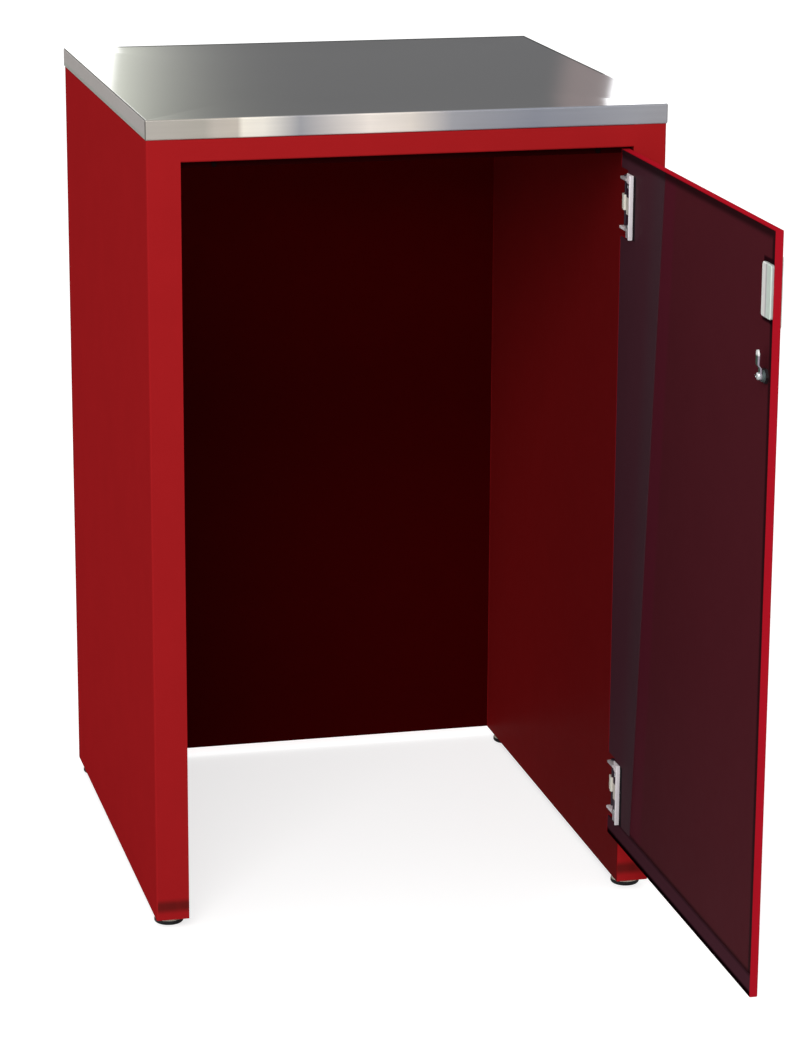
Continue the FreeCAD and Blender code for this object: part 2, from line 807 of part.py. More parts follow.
def pull_screws():
    screws = []
    for x, z in bezel_screw_points():
        plate_face = front - bezel_thickness
        head = rod(bezel_screw_head_radius, (x, plate_face, z), -back, bezel_screw_head_height)
        rim = [edge for edge in head.Edges
               if edge.Closed and edge.CenterOfMass.y < plate_face - fit]
        head = head.makeFillet(bezel_screw_head_height * head_rounding, rim)
        shank = rod(bezel_screw_radius, (x, plate_face, z), back, bezel_screw_length)
        screws.append(head.fuse(shank).removeSplitter())
    return Part.makeCompound(screws)


# ---- Cam lock ----

def lock_body():
    """Threaded body with a round flange on the door's outer face."""
    flange = rod(lock_flange_radius, (lock_x, front - lock_flange_height, lock_z), back, lock_flange_height)
    rim = [edge for edge in flange.Edges
           if edge.Closed and edge.CenterOfMass.y < front - lock_flange_height + fit]
    flange = flange.makeFillet(lock_flange_height / 2, rim)
    barrel = rod(lock_radius, (lock_x, front, lock_z), back, lock_end - front)
    bore_start = (lock_x, front - lock_flange_height - cut_past, lock_z)
    bore_length = lock_end - front + lock_flange_height + 2 * cut_past
    bore = rod(plug_radius + fit, bore_start, back, bore_length)
    return flange.fuse(barrel).removeSplitter().cut(bore)


def lock_nut():
    """Nut that clamps the lock's body on the inner panel."""
    nut = hexagon(lock_nut_flats, (lock_x, panel_face, lock_z), back, lock_nut_depth)
    bore_start = (lock_x, panel_face - cut_past, lock_z)
    bore = rod(lock_radius + fit, bore_start, back, lock_nut_depth + 2 * cut_past)
    return nut.cut(bore)


def lock_plug():
    """Turning plug with a keyway, and a tail that carries the cam."""
    face = front - lock_flange_height
    plug = rod(plug_radius, (lock_x, face, lock_z), back, cam_face - face)
    tail = rod(plug_tail_radius, (lock_x, cam_face, lock_z), back, cam_thickness)
    keyway = block((lock_x - keyway_width / 2, face - cut_past, lock_z - keyway_height / 2),
                   (lock_x + keyway_width / 2, face + keyway_depth, lock_z + keyway_height / 2))
    screw_end = cam_face + cam_thickness - cam_screw_length
    thread = rod(cam_screw_radius + fit, (lock_x, screw_end, lock_z), back, cam_screw_length + cut_past)
    return plug.fuse(tail).removeSplitter().cut(keyway).cut(thread)


def lock_cam():
    """Lever with a joggle, standing up while the lock is open."""
    half = cam_width / 2
    side = lock_x + half
    far_face = cam_face + cam_joggle
    corners = [
        (side, cam_face, lock_z - cam_length),
        (side, cam_face, lock_z + cam_joggle_start),
        (side, far_face, lock_z + cam_joggle_end),
        (side, far_face, lock_z + 2 * cam_length),
    ]
    lever = folded_sheet(corners, cam_thickness, cam_thickness / 4, -right, cam_width)
    tip_z = lock_z + cam_length - half
    depth = cam_joggle + 4 * cam_thickness
    outline_y = cam_face - cam_thickness
    outline = block((lock_x - half, outline_y, lock_z), (lock_x + half, outline_y + depth, tip_z))
    for end_z in (lock_z, tip_z):
        outline = outline.fuse(rod(half, (lock_x, outline_y, end_z), back, depth))
    hole = rod(plug_tail_radius + fit, (lock_x, outline_y, lock_z), back, depth)
    return lever.common(outline.removeSplitter()).cut(hole)


def lock_cam_screw():
    head_face = cam_face + cam_thickness
    head = rod(cam_screw_head_radius, (lock_x, head_face, lock_z), back, cam_screw_head_height)
    rim = [edge for edge in head.Edges if edge.Closed and edge.CenterOfMass.y > head_face + fit]
    head = head.makeFillet(cam_screw_head_height / 2, rim)
    shank = rod(cam_screw_radius, (lock_x, head_face, lock_z), -back, cam_screw_length)
    return head.fuse(shank).removeSplitter()


def door_bumpers():
    """Soft buttons on the header's stop lip, which the closing door meets."""
    lip_y = door_back + stop_gap
    height = stop_gap - bumper_clearance
    z = opening_top - stop_drop + bumper_radius + bumper_clearance
    bumpers = []
    for side in (-1, 1):
        x = side * (opening_half - bumper_inset)
        bumpers.append(rod(bumper_radius, (x, lip_y, z), -back, height))
    return Part.makeCompound(bumpers)


# ---- Every node, in its rest place ----

def cabinet_nodes():
    nodes = {
        "outer_side_right": outer_side(),
        "outer_side_left": mirrored(outer_side()),
        "inner_side_right": hinge_side_inner(),
        "inner_side_left": lock_side_inner(),
        "sole_channel_right": sole_channel(),
        "sole_channel_left": mirrored(sole_channel()),
        "top_channel_right": top_channel(),
        "top_channel_left": mirrored(top_channel()),
        "header_rail": header_rail(),
        "rear_rail": rear_rail(),
        "back_panel": back_panel(),
        "back_panel_screws": back_panel_screws(),
        "worktop_board": worktop_board(),
        "worktop_skin": worktop_skin(),
        "worktop_screws": worktop_screws(),
        "foot_weld_nuts": weld_nuts(),
        "door_bumpers": door_bumpers(),
    }
    for name, height in hinge_heights.items():
        nodes["hinge_bracket_" + name] = hinge_bracket(height)
    return nodes


def foot_nodes():
    nodes = {}
    for name, (x, y) in foot_places.items():
        nodes["foot_stud_" + name] = foot_stud(x, y)
        nodes["foot_pad_" + name] = foot_pad(x, y)
        nodes["foot_lock_nut_" + name] = foot_lock_nut(x, y)
    return nodes


def door_nodes():
    closed = {
        "door_outer_panel": door_outer_panel(),
        "door_inner_panel": door_inner_panel(),
        "door_stiffener": door_stiffener(),
        "door_hat_hinge_side": door_hat(hat_spacing / 2),
        "door_hat_lock_side": door_hat(-hat_spacing / 2),
        "hinge_leaf_screws": leaf_screws(),
        "pull_cup": pull_cup(),
        "pull_screws": pull_screws(),
        "lock_body": lock_body(),
        "lock_nut": lock_nut(),
        "lock_plug": lock_plug(),
        "lock_cam": lock_cam(),
        "lock_cam_screw": lock_cam_screw(),
    }
    for name, height in hinge_heights.items():
        closed["hinge_leaf_" + name] = hinge_leaf(height)
        closed["hinge_pin_" + name] = hinge_pin(height)
    return {name: swung(shape) for name, shape in closed.items()}


os.makedirs("parts", exist_ok=True)
for node, shape in {**cabinet_nodes(), **foot_nodes(), **door_nodes()}.items():
    shape.exportStep("parts/" + node + ".step")
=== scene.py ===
# Side locker: finishes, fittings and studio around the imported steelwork. Metres throughout.
import math

import bpy
import numpy as np
from mathutils import Matrix, Vector


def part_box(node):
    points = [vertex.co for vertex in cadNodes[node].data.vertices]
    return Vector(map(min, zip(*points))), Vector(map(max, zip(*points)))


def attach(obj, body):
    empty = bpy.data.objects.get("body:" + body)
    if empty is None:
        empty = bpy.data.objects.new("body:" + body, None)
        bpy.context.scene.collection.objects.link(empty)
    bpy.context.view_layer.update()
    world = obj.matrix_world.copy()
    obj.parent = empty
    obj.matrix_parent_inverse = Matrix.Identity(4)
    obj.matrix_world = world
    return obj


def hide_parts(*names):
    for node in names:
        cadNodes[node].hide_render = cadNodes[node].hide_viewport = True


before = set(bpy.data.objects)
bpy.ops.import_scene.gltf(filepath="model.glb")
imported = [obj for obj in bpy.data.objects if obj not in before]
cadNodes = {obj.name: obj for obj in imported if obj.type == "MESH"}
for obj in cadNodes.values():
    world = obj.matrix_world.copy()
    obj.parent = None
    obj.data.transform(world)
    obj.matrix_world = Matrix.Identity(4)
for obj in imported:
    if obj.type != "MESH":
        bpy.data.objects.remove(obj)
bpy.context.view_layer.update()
print("steelwork loaded:", len(cadNodes), "nodes")


# camera: standing left of the middle and looking down a little
cameraPlan = {
    "place": (-0.951, -4.117, 1.5655),
    "turn": 13.945,      # degrees to the right of straight ahead
    "dip": 15.498,       # degrees below the horizon
    "roll": 0.33,
    "lens": 118.85,      # mm on a 36 mm long side
}


def setCamera(plan):
    turn, dip, roll = (math.radians(plan[key]) for key in ("turn", "dip", "roll"))
    ahead = Vector((math.sin(turn) * math.cos(dip), math.cos(turn) * math.cos(dip), -math.sin(dip)))
    level = Vector((math.cos(turn), -math.sin(turn), 0))
    over = level.cross(ahead)
    side = level * math.cos(roll) + over * math.sin(roll)
    head = over * math.cos(roll) - level * math.sin(roll)
    lensData = bpy.data.cameras.new("camera")
    lensData.lens = plan["lens"]
    lensData.clip_end = 200
    camera = bpy.data.objects.new("camera", lensData)
    facing = Matrix((side, head, -ahead)).transposed().to_4x4()
    camera.matrix_world = Matrix.Translation(plan["place"]) @ facing
    bpy.context.scene.collection.objects.link(camera)
    bpy.context.scene.camera = camera


setCamera(cameraPlan)
print("camera set up")


# node helpers: each finds its node tree through the sockets that it is given
def isSocket(value):
    return isinstance(value, bpy.types.NodeSocket)


def treeOf(*values):
    return next(value.id_data for value in values if isSocket(value))


def plug(socket, value):
    if isSocket(value):
        socket.id_data.links.new(value, socket)
    else:
        socket.default_value = value


def addNode(tree, kind, settings=None, **sockets):
    made = tree.nodes.new(kind)
    for key, value in (settings or {}).items():
        setattr(made, key, value)
    for key, value in sockets.items():
        plug(made.inputs[key], value)
    return made


def srgb(red, green, blue):
    # screen values from 0 to 255 made linear
    def linear(value):
        share = value / 255
        return share / 12.92 if share <= 0.04045 else ((share + 0.055) / 1.055) ** 2.4
    return linear(red), linear(green), linear(blue), 1.0


finishes = {}       # materials by name


def startMaterial(name, roughness, metallic, specular=0.5):
    material = finishes[name] = bpy.data.materials.new(name)
    material.use_nodes = True
    shader = material.node_tree.nodes["Principled BSDF"]
    shader.inputs["Roughness"].default_value = roughness
    shader.inputs["Metallic"].default_value = metallic
    shader.inputs["Specular IOR Level"].default_value = specular
    place = addNode(material.node_tree, "ShaderNodeTexCoord").outputs["Object"]
    return shader.inputs, place


def axes(place):
    return addNode(place.id_data, "ShaderNodeSeparateXYZ", Vector=place).outputs


def maths(operation, first, second=0.0):
    made = addNode(treeOf(first, second), "ShaderNodeMath", {"operation": operation})
    plug(made.inputs[0], first)
    plug(made.inputs[1], second)
    return made.outputs[0]


def largest(first, second):
    return maths("MAXIMUM", first, second)


def product(*values):
    result = values[0]
    for value in values[1:]:
        result = maths("MULTIPLY", result, value)
    return result


def mapRange(value, fromLow, fromHigh, toLow, toHigh, interpolation="LINEAR"):
    settings = {"interpolation_type": interpolation}
    made = addNode(value.id_data, "ShaderNodeMapRange", settings, Value=value)
    ends = {"From Min": fromLow, "From Max": fromHigh, "To Min": toLow, "To Max": toHigh}
    for name, number in ends.items():
        made.inputs[name].default_value = number
    return made.outputs["Result"]


def remap(value, low, high):
    return mapRange(value, 0.0, 1.0, low, high)


def fraction(value, low, high):
    # how far the value lies on the way from low to high, 0 to 1
    return mapRange(value, low, high, 0.0, 1.0)


def rise(value, start, end):
    # 0 before start, 1 after end, smooth between; start above end makes it fall
    if start < end:
        return mapRange(value, start, end, 0.0, 1.0, "SMOOTHSTEP")
    return mapRange(value, end, start, 1.0, 0.0, "SMOOTHSTEP")


def between(value, low, high, soft):
    return product(rise(value, low - soft, low + soft), rise(value, high + soft, high - soft))


def noise(place, scale, detail=2.0, stretch=(1, 1, 1)):
    if stretch != (1, 1, 1):
        place = addNode(place.id_data, "ShaderNodeMapping", Vector=place, Scale=stretch).outputs[0]
    made = addNode(place.id_data, "ShaderNodeTexNoise", Vector=place, Scale=scale, Detail=detail)
    return made.outputs[0]


def blendColour(factor, first, second, blendType="MIX"):
    settings = {"data_type": "RGBA", "blend_type": blendType}
    made = addNode(treeOf(factor, first, second), "ShaderNodeMix", settings)
    for index, value in ((0, factor), (6, first), (7, second)):
        plug(made.inputs[index], value)
    return made.outputs[2]


def shade(colour, factor):
    # colour times a factor that varies over the surface
    grey = addNode(factor.id_data, "ShaderNodeCombineColor", Red=factor, Green=factor, Blue=factor)
    return blendColour(1.0, colour, grey.outputs[0], "MULTIPLY")


def ramp(value, stops):
    # colours at places from 0 to 1
    made = addNode(value.id_data, "ShaderNodeValToRGB", Fac=value)
    elements = made.color_ramp.elements
    elements[0].position, elements[0].color = stops[0]
    elements[1].position, elements[1].color = stops[-1]
    for place, colour in stops[1:-1]:
        elements.new(place).color = colour
    return made.outputs[0]


def addBump(inputs, height, depth, strength=1.0, under=None):
    bump = addNode(height.id_data, "ShaderNodeBump", Height=height, Distance=depth, Strength=strength)
    if under is not None:
        plug(bump.inputs["Normal"], under)
    plug(inputs["Normal"], bump.outputs[0])
    return bump.outputs[0]


def middle(name):
    low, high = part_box(name)
    return (low + high) / 2


# powder coat: orange peel, faint mottling, gentle waves in the sheet; painted shade, shadow, highlight
# and reflection marks in its colours
coat = {
    "outerRed": srgb(156, 27, 30),
    "rimRed": srgb(162, 19, 33),        # the door's folded edges
    "wallMaroon": srgb(110, 18, 20),
    "wallDeep": srgb(150, 26, 28),      # towards the rear, where less light comes in
    "wallDepth": (-0.28, 0.34),         # from front to rear
    "backMaroon": srgb(62, 1, 2),
    "backHigh": srgb(96, 2, 3),         # under the worktop, where less light comes in
    "backHeights": (0.45, 0.92),
    "lipMaroon": srgb(34, 2, 3),
    "doorMaroon": srgb(74, 27, 34),
    "doorHighlight": srgb(82, 24, 39),      # painted highlight: redder strip beside the stiffener
    "stripMaroon": srgb(69, 37, 46),
    "stripShade": srgb(66, 43, 50),     # painted shade: greener and darker towards the stiffener's free edge
    "edgeShade": srgb(26, 12, 14),      # painted shade: dark line inside the door's folded edges and at its seams
    "edgeLine": 0.010,
    "footShade": srgb(10, 1, 3),        # painted shade: darker line along the door's foot
    "returnTop": 0.029,                 # covers the pan's return, from the door's foot
    "stiffenerTaper": 0.072,            # how much narrower the stiffener is at its foot
    "leafShade": srgb(14, 2, 10),       # painted shadow: dark line beside the hinge leaves
    "leafLine": 0.009,
    "pullShade": srgb(14, 3, 8),        # painted shadow: dark line round the pull's cup
    "pullSideRim": 0.0023,              # from the pull's face plate to its cup
    "pullEndRim": 0.0098,
    "postReflectionBand": srgb(60, 24, 21),           # painted reflection: soft dark band across the posts above the feet
    "postReflectionBandLow": 0.0225,
    "postReflectionBandHigh": 0.0355,
    "postReflectionBandSoft": 0.0045,
    "roughness": 0.42,
    "glossScale": 60.0,
    "redGloss": 0.0,
    "innerGloss": 0.006,
    "peelScale": 700.0,
    "peelDepth": 0.00012,
    "waveScale": 5.0,
    "waveDepth": 0.0012,
    "mottleScale": 22.0,
    "mottle": 0.05,
}
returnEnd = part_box("door_stiffener")[0].z       # height at which the door pan's return ends


def coatSurface(name, plan, gloss="innerGloss"):
    inputs, place = startMaterial(name, plan["roughness"], 0.0, plan[gloss])
    wave = noise(place, plan["waveScale"])
    peel = noise(place, plan["peelScale"], 1.0)
    swell = addBump(inputs, wave, plan["waveDepth"], 0.35)
    addBump(inputs, peel, plan["peelDepth"], 0.5, swell)
    satin = noise(place, plan["glossScale"], 3.0)
    satin = remap(satin, plan["roughness"] - 0.05, plan["roughness"] + 0.06)
    plug(inputs["Roughness"], satin)
    return inputs, place


def finishCoat(inputs, place, colour, plan):
    mottle = noise(place, plan["mottleScale"], 4.0)
    mottle = remap(mottle, 1 - plan["mottle"], 1 + plan["mottle"])
    plug(inputs["Base Color"], shade(colour, mottle))


def plainCoat(name, colour, plan):
    inputs, place = coatSurface(name, plan)
    finishCoat(inputs, place, colour, plan)


def redCoat(plan):
    # the painted dark reflection band is only on the posts' front faces
    inputs, place = coatSurface("redCoat", plan, "redGloss")
    y, z = axes(place)[1:]
    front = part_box("outer_side_left")[0].y
    streaks = remap(noise(place, 90.0, 3.0, (1, 1, 0.1)), 0.70, 1.0)
    postReflectionBand = between(z, plan["postReflectionBandLow"], plan["postReflectionBandHigh"], plan["postReflectionBandSoft"])
    postReflectionBand = product(postReflectionBand, rise(y, front + 0.0005, front - 0.0002), streaks)
    finishCoat(inputs, place, blendColour(postReflectionBand, plan["outerRed"], plan["postReflectionBand"]), plan)


def headerCoat(plan):
    # red face; the underside and the stop lip are as dark as the inside
    inputs, place = coatSurface("headerCoat", plan, "redGloss")
    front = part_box("header_rail")[0].y
    inside = rise(axes(place)[1], front + 0.0010, front + 0.0018)
    colour = blendColour(inside, plan["outerRed"], plan["lipMaroon"])
    finishCoat(inputs, place, colour, plan)


def wallCoat(plan):
    # the same maroon all the way in: lightened to the rear to make up for the falling light
    inputs, place = coatSurface("innerWallCoat", plan)
    depth = rise(axes(place)[1], *plan["wallDepth"])
    colour = blendColour(depth, plan["wallMaroon"], plan["wallDeep"])
    finishCoat(inputs, place, colour, plan)


def backPanelCoat(plan):
    # red outside, maroon towards the bin space
    inputs, place = coatSurface("backPanelCoat", plan)
    y, z = axes(place)[1:]
    sheet = middle("back_panel").y
    outside = rise(y, sheet - 0.00005, sheet + 0.00005)
    inside = blendColour(rise(z, *plan["backHeights"]), plan["backMaroon"], plan["backHigh"])
    finishCoat(inputs, place, blendColour(outside, inside, plan["outerRed"]), plan)


def doorPanCoat(plan):
    # red face, deeper red folded edges, and a dark return along the bottom of the inner side with a
    # painted shadow line above and a painted shade line below
    inputs, place = coatSurface("doorPanCoat", plan, "redGloss")
    x, y, z = axes(place)
    low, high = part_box("door_outer_panel")
    top = low.z + plan["returnTop"]
    inner = product(rise(x, low.x + 0.002, low.x + 0.0012),
                    rise(z, top + 0.001, top - 0.001),
                    rise(y, low.y + 0.001, low.y + 0.002),
                    rise(y, high.y - 0.001, high.y - 0.002))
    # painted shadow under the seam with the inner panel
    atSeam = product(rise(z, returnEnd - 0.0045, returnEnd - 0.0010), 0.45)
    dark = blendColour(atSeam, plan["stripMaroon"], plan["edgeShade"])
    # painted shade along the door's foot
    atFoot = rise(z, low.z + 0.0085, low.z + 0.0035)
    dark = blendColour(atFoot, dark, plan["footShade"])
    outside = rise(x, high.x - 0.0012, high.x - 0.0004)
    red = blendColour(outside, plan["rimRed"], plan["outerRed"])
    finishCoat(inputs, place, blendColour(inner, red, dark), plan)


def pastStiffener(y, z, plan):
    # metres from the stiffener's slanted free edge towards the hinges
    low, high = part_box("door_stiffener")
    slope = -plan["stiffenerTaper"] / (high.z - low.z)
    slant = product(maths("SUBTRACT", z, low.z), slope)
    edge = maths("ADD", slant, low.y + plan["stiffenerTaper"])
    return maths("SUBTRACT", y, edge)


def doorInnerCoat(plan):
    # painted shade along its folds and above the seam with the pan's return, a painted shadow round the
    # pull's cup, and a painted red highlight beside the stiffener
    inputs, place = coatSurface("doorInnerCoat", plan)
    y, z = axes(place)[1:]
    low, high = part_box("door_outer_panel")
    line = plan["edgeLine"]
    # painted shade inside the free edge and under the top fold
    border = largest(rise(y, low.y + line + 0.004, low.y + line - 0.002),
                     rise(z, high.z - line - 0.004, high.z - line + 0.004))
    stiffenerHighlight = between(pastStiffener(y, z, plan), -0.040, 0.0, 0.006)
    colour = blendColour(product(stiffenerHighlight, 0.6), plan["doorMaroon"], plan["doorHighlight"])
    colour = blendColour(product(border, 0.8), colour, plan["edgeShade"])
    atSeam = product(rise(z, returnEnd + 0.0050, returnEnd + 0.0010), 0.55)
    colour = blendColour(atSeam, colour, plan["edgeShade"])
    # painted shadow round the pull's cup
    low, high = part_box("pull_cup")
    sides, ends = plan["pullSideRim"], plan["pullEndRim"]
    cup = product(between(y, low.y + sides - 0.009, high.y - sides + 0.004, 0.0012),
                  between(z, low.z + ends - 0.0055, high.z - ends + 0.0055, 0.0015), 0.85)
    finishCoat(inputs, place, blendColour(cup, colour, plan["pullShade"]), plan)


def stiffenerCoat(plan):
    # painted shade under the door's top fold and towards the free edge, and a painted shadow beside the
    # hinge leaves
    inputs, place = coatSurface("stiffenerCoat", plan)
    y, z = axes(place)[1:]
    past = pastStiffener(y, z, plan)
    colour = blendColour(rise(past, 0.060, 0.008), plan["stripMaroon"], plan["stripShade"])
    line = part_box("door_stiffener")[1].z - plan["edgeLine"]
    border = product(rise(z, line - 0.003, line + 0.005), 0.8)
    colour = blendColour(border, colour, plan["edgeShade"])
    # painted shadow beside each hinge leaf
    for side in ("lower", "upper"):
        low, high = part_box("hinge_leaf_" + side)
        beside = product(between(y, low.y - plan["leafLine"], low.y + 0.002, 0.001),
                         between(z, low.z, high.z, 0.001))
        colour = blendColour(beside, colour, plan["leafShade"])
    finishCoat(inputs, place, colour, plan)


# brushed stainless sheet: painted reflections, one run of tones along the top and another along the
# band, standing in for its surroundings mirrored in it
steel = {
    "topReflections": ((0.0, (0.30, 0.31, 0.27, 1)), (0.35, (0.25, 0.25, 0.26, 1)),
                 (1.0, (0.22, 0.22, 0.25, 1))),
    "bandReflections": ((0.0, (0.43, 0.40, 0.36, 1)), (0.11, (0.44, 0.41, 0.36, 1)),
                  (0.13, (0.55, 0.50, 0.44, 1)), (0.172, (0.58, 0.52, 0.45, 1)),
                  (0.182, (0.95, 0.89, 0.78, 1)), (0.22, (0.92, 0.87, 0.78, 1)),
                  (0.29, (0.36, 0.36, 0.385, 1)), (0.42, (0.92, 0.84, 0.77, 1)),
                  (0.50, (0.80, 0.73, 0.66, 1)), (0.58, (0.37, 0.37, 0.40, 1)),
                  (0.74, (0.28, 0.295, 0.345, 1)), (1.0, (0.34, 0.345, 0.37, 1))),
    "sideReflection": (0.455, 0.415, 0.39, 1),
    "sideReflectionFoot": (0.36, 0.38, 0.33, 1),
    "edgeTone": (0.03, 0.03, 0.03, 1),
    "cornerLine": 0.0034,      # width of the dark seam at the front corners
    "rimLine": 0.012,          # width of the painted dark reflection on the top's rear rim, half of it on the right
    "rimFrom": (-0.235, -0.06),    # where the line begins on the rear rim and on the right one
    # painted dark reflection: tint of the reflection along that line
    "rimTint": (0.05, 0.05, 0.05, 1),
    "topMetal": 1.0,
    "bandMetal": 0.35,
    "roughness": 0.055,
    "bandRoughness": 0.38,
    "grainScale": 260.0,
    "grainDepth": 0.00003,
    "speckleScale": 900.0,
    "cloudScale": 4.0,
    "bandingScale": 9.0,
}


def stainless(plan):
    inputs, place = startMaterial("brushedStainless", plan["roughness"], 1.0)
    x, y, z = axes(place)
    low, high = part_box("worktop_skin")
    grain = noise(place, plan["grainScale"], 3.0, (0.03, 1, 1))
    speckle = noise(place, plan["speckleScale"], 2.0)
    cloud = noise(place, plan["cloudScale"], 3.0)
    banding = noise(place, plan["bandingScale"], 2.0, (1, 0.05, 0.05))
    across = fraction(x, low.x, high.x)
    onFront = rise(y, low.y + 0.0014, low.y + 0.0006)
    onSide = largest(rise(x, low.x + 0.0014, low.x + 0.0006), rise(x, high.x - 0.0014, high.x - 0.0006))
    onBand = rise(z, high.z - 0.0006, high.z - 0.0014)
    bandFoot = rise(z, low.z + 0.008, low.z + 0.003)
    # painted reflections: the side band, the front band and the top take their tones from where their
    # surroundings lie in them
    side = blendColour(bandFoot, plan["sideReflection"], plan["sideReflectionFoot"])
    side = shade(side, remap(speckle, 0.8, 1.2))
    front = shade(ramp(across, plan["bandReflections"]), remap(banding, 0.88, 1.10))
    colour = blendColour(onSide, ramp(across, plan["topReflections"]), side)
    colour = blendColour(onFront, colour, front)
    # painted dark reflection along the rear rim and the back of the right rim: both the colour and the
    # reflection's tint darken; the dark seams at the front corners share its tone
    width, (fromX, fromY) = plan["rimLine"], plan["rimFrom"]
    rearRim = product(rise(y, high.y - width, high.y - width / 3),
                      rise(x, fromX - 0.004, fromX + 0.004))
    rightRim = product(rise(x, high.x - width / 2, high.x - width / 6),
                       rise(y, fromY - 0.004, fromY + 0.004))
    rim = largest(rearRim, rightRim)
    rim = product(rim, rise(z, high.z - 0.0025, high.z - 0.0012), 0.9)
    plug(inputs["Specular Tint"], blendColour(rim, (1, 1, 1, 1), plan["rimTint"]))
    seam = low.y + plan["cornerLine"]
    corner = product(onSide, onBand, rise(y, seam, seam - 0.001), 0.85)
    colour = blendColour(largest(rim, corner), colour, plan["edgeTone"])
    for pattern in (grain, cloud):
        colour = shade(colour, remap(pattern, 0.92, 1.08))
    plug(inputs["Base Color"], colour)
    plug(inputs["Metallic"], remap(onBand, plan["topMetal"], plan["bandMetal"]))
    smooth = remap(grain, plan["roughness"] - 0.015, plan["roughness"] + 0.02)
    gap = plan["bandRoughness"] - plan["roughness"]
    plug(inputs["Roughness"], maths("ADD", smooth, product(onBand, gap)))
    addBump(inputs, grain, plan["grainDepth"], 0.3)


def finishMetal(inputs, place, colour, plan):
    # one cloud varies both tone and gloss, over a fine grain
    cloud = noise(place, plan["cloudScale"], 3.0)
    tone = shade(colour, remap(cloud, 1 - plan["mottle"], 1 + plan["mottle"]))
    plug(inputs["Base Color"], tone)
    polish = remap(cloud, plan["roughness"] - 0.06, plan["roughness"] + plan["duller"])
    plug(inputs["Roughness"], polish)
    addBump(inputs, noise(place, plan["grainScale"], 2.0), 0.00004, 0.4)


# zinc of the hinge leaves: bright lip and ears, a cream middle, painted shade on the strip between the
# ears, and painted shade on half of each ear
zincLeaf = {
    "bright": (0.96, 0.90, 0.93, 1),
    "cream": (0.90, 0.86, 0.76, 1),
    # painted shade on half of each ear
    "grey": (0.36, 0.35, 0.36, 1),
    # painted pocket shade on the strip between the ears
    "pocketShade": (0.034, 0.014, 0.034, 1),
    "lipWidth": 0.0024,
    "knuckle": 0.0100,       # half height of the cream middle
    "earReach": 0.0265,      # from the middle to where the ears begin
    "earBend": 0.0250,       # from the lip to where the painted shade on an ear begins or ends
    "roughness": 0.42,
    "duller": 0.06,
    "metallic": 0.25,
    "mottle": 0.06,
    "cloudScale": 150.0,
    "grainScale": 900.0,
}


def leafZinc(plan):
    inputs, place = startMaterial("leafZinc", plan["roughness"], plan["metallic"])
    y, z = axes(place)[1:]
    low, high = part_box("hinge_leaf_lower")
    half = (high.z - low.z) / 2
    fromMiddle = [maths("SUBTRACT", z, middle("hinge_leaf_" + side).z) for side in ("lower", "upper")]
    away = [maths("ABSOLUTE", value) for value in fromMiddle]
    distance = maths("MINIMUM", *away)
    flat = rise(y, low.y + plan["lipWidth"], low.y + plan["lipWidth"] + 0.0004)
    betweenEars = rise(distance, plan["earReach"], plan["earReach"] - 0.0006)
    cream = rise(distance, plan["knuckle"] + 0.0004, plan["knuckle"] - 0.0004)
    strip = blendColour(cream, plan["pocketShade"], plan["cream"])
    colour = blendColour(product(flat, betweenEars), plan["bright"], strip)
    tipward = rise(y, low.y + plan["earBend"] - 0.002, low.y + plan["earBend"] + 0.002)
    upperEar = largest(*[between(value, plan["earReach"], half, 0.0005) for value in fromMiddle])
    lowerEar = largest(*[between(value, -half, -plan["earReach"], 0.0005) for value in fromMiddle])
    # painted shade: the upper ears away from the lip, the lower ears near it
    shadedEarHalf = maths("ADD", product(upperEar, tipward),
                 product(lowerEar, flat, maths("SUBTRACT", 1.0, tipward)))
    colour = blendColour(product(shadedEarHalf, 0.7), colour, plan["grey"])
    finishMetal(inputs, place, colour, plan)


# nickel of the lock: grey inside the door round the plug, with painted shade at the nut's corners;
# plain nickel outside
nickelNut = {
    "outside": (0.60, 0.64, 0.61, 1),
    "grey": (0.13, 0.17, 0.17, 1),
    "cornerShade": (0.028, 0.018, 0.022, 1),
    "shadeRadius": 0.0060,         # radius round the lock's axis where the painted shade begins
    "roughness": 0.38,
    "duller": 0.08,
    "metallic": 0.5,
    "mottle": 0.15,
    "cloudScale": 300.0,
    "grainScale": 900.0,
}


def nutNickel(plan):
    # distance from the lock's axis, which runs along X
    inputs, place = startMaterial("nutNickel", plan["roughness"], plan["metallic"])
    x, y, z = axes(place)
    centre = middle("lock_nut")
    across = maths("SUBTRACT", y, centre.y)
    up = maths("SUBTRACT", z, centre.z)
    radius = maths("SQRT", maths("ADD", product(across, across), product(up, up)))
    # painted shade at the nut's corners, beyond the shade radius
    cornerShadeMask = rise(radius, plan["shadeRadius"], plan["shadeRadius"] + 0.0015)
    colour = blendColour(cornerShadeMask, plan["grey"], plan["cornerShade"])
    outside = rise(x, centre.x + 0.006, centre.x + 0.008)
    finishMetal(inputs, place, blendColour(outside, colour, plan["outside"]), plan)


# satin nickel of the pull: painted reflections on the cup's back, a bright stripe towards the hinges
# and a greener one at the free edge
nickelPull = {
    "plain": (0.60, 0.63, 0.61, 1),
    "reflectionStripes": ((0.0, (0.70, 0.83, 0.74, 1)), (0.44, (0.76, 0.88, 0.80, 1)),
                (0.50, (0.58, 0.58, 0.58, 1)), (0.56, (0.60, 0.60, 0.60, 1)),
                (0.62, (0.95, 0.95, 0.92, 1)), (1.0, (0.95, 0.95, 0.92, 1))),
    "roughness": 0.42,
    "duller": 0.06,
    "metallic": 0.25,
    "mottle": 0.06,
    "cloudScale": 140.0,
    "grainScale": 700.0,
}


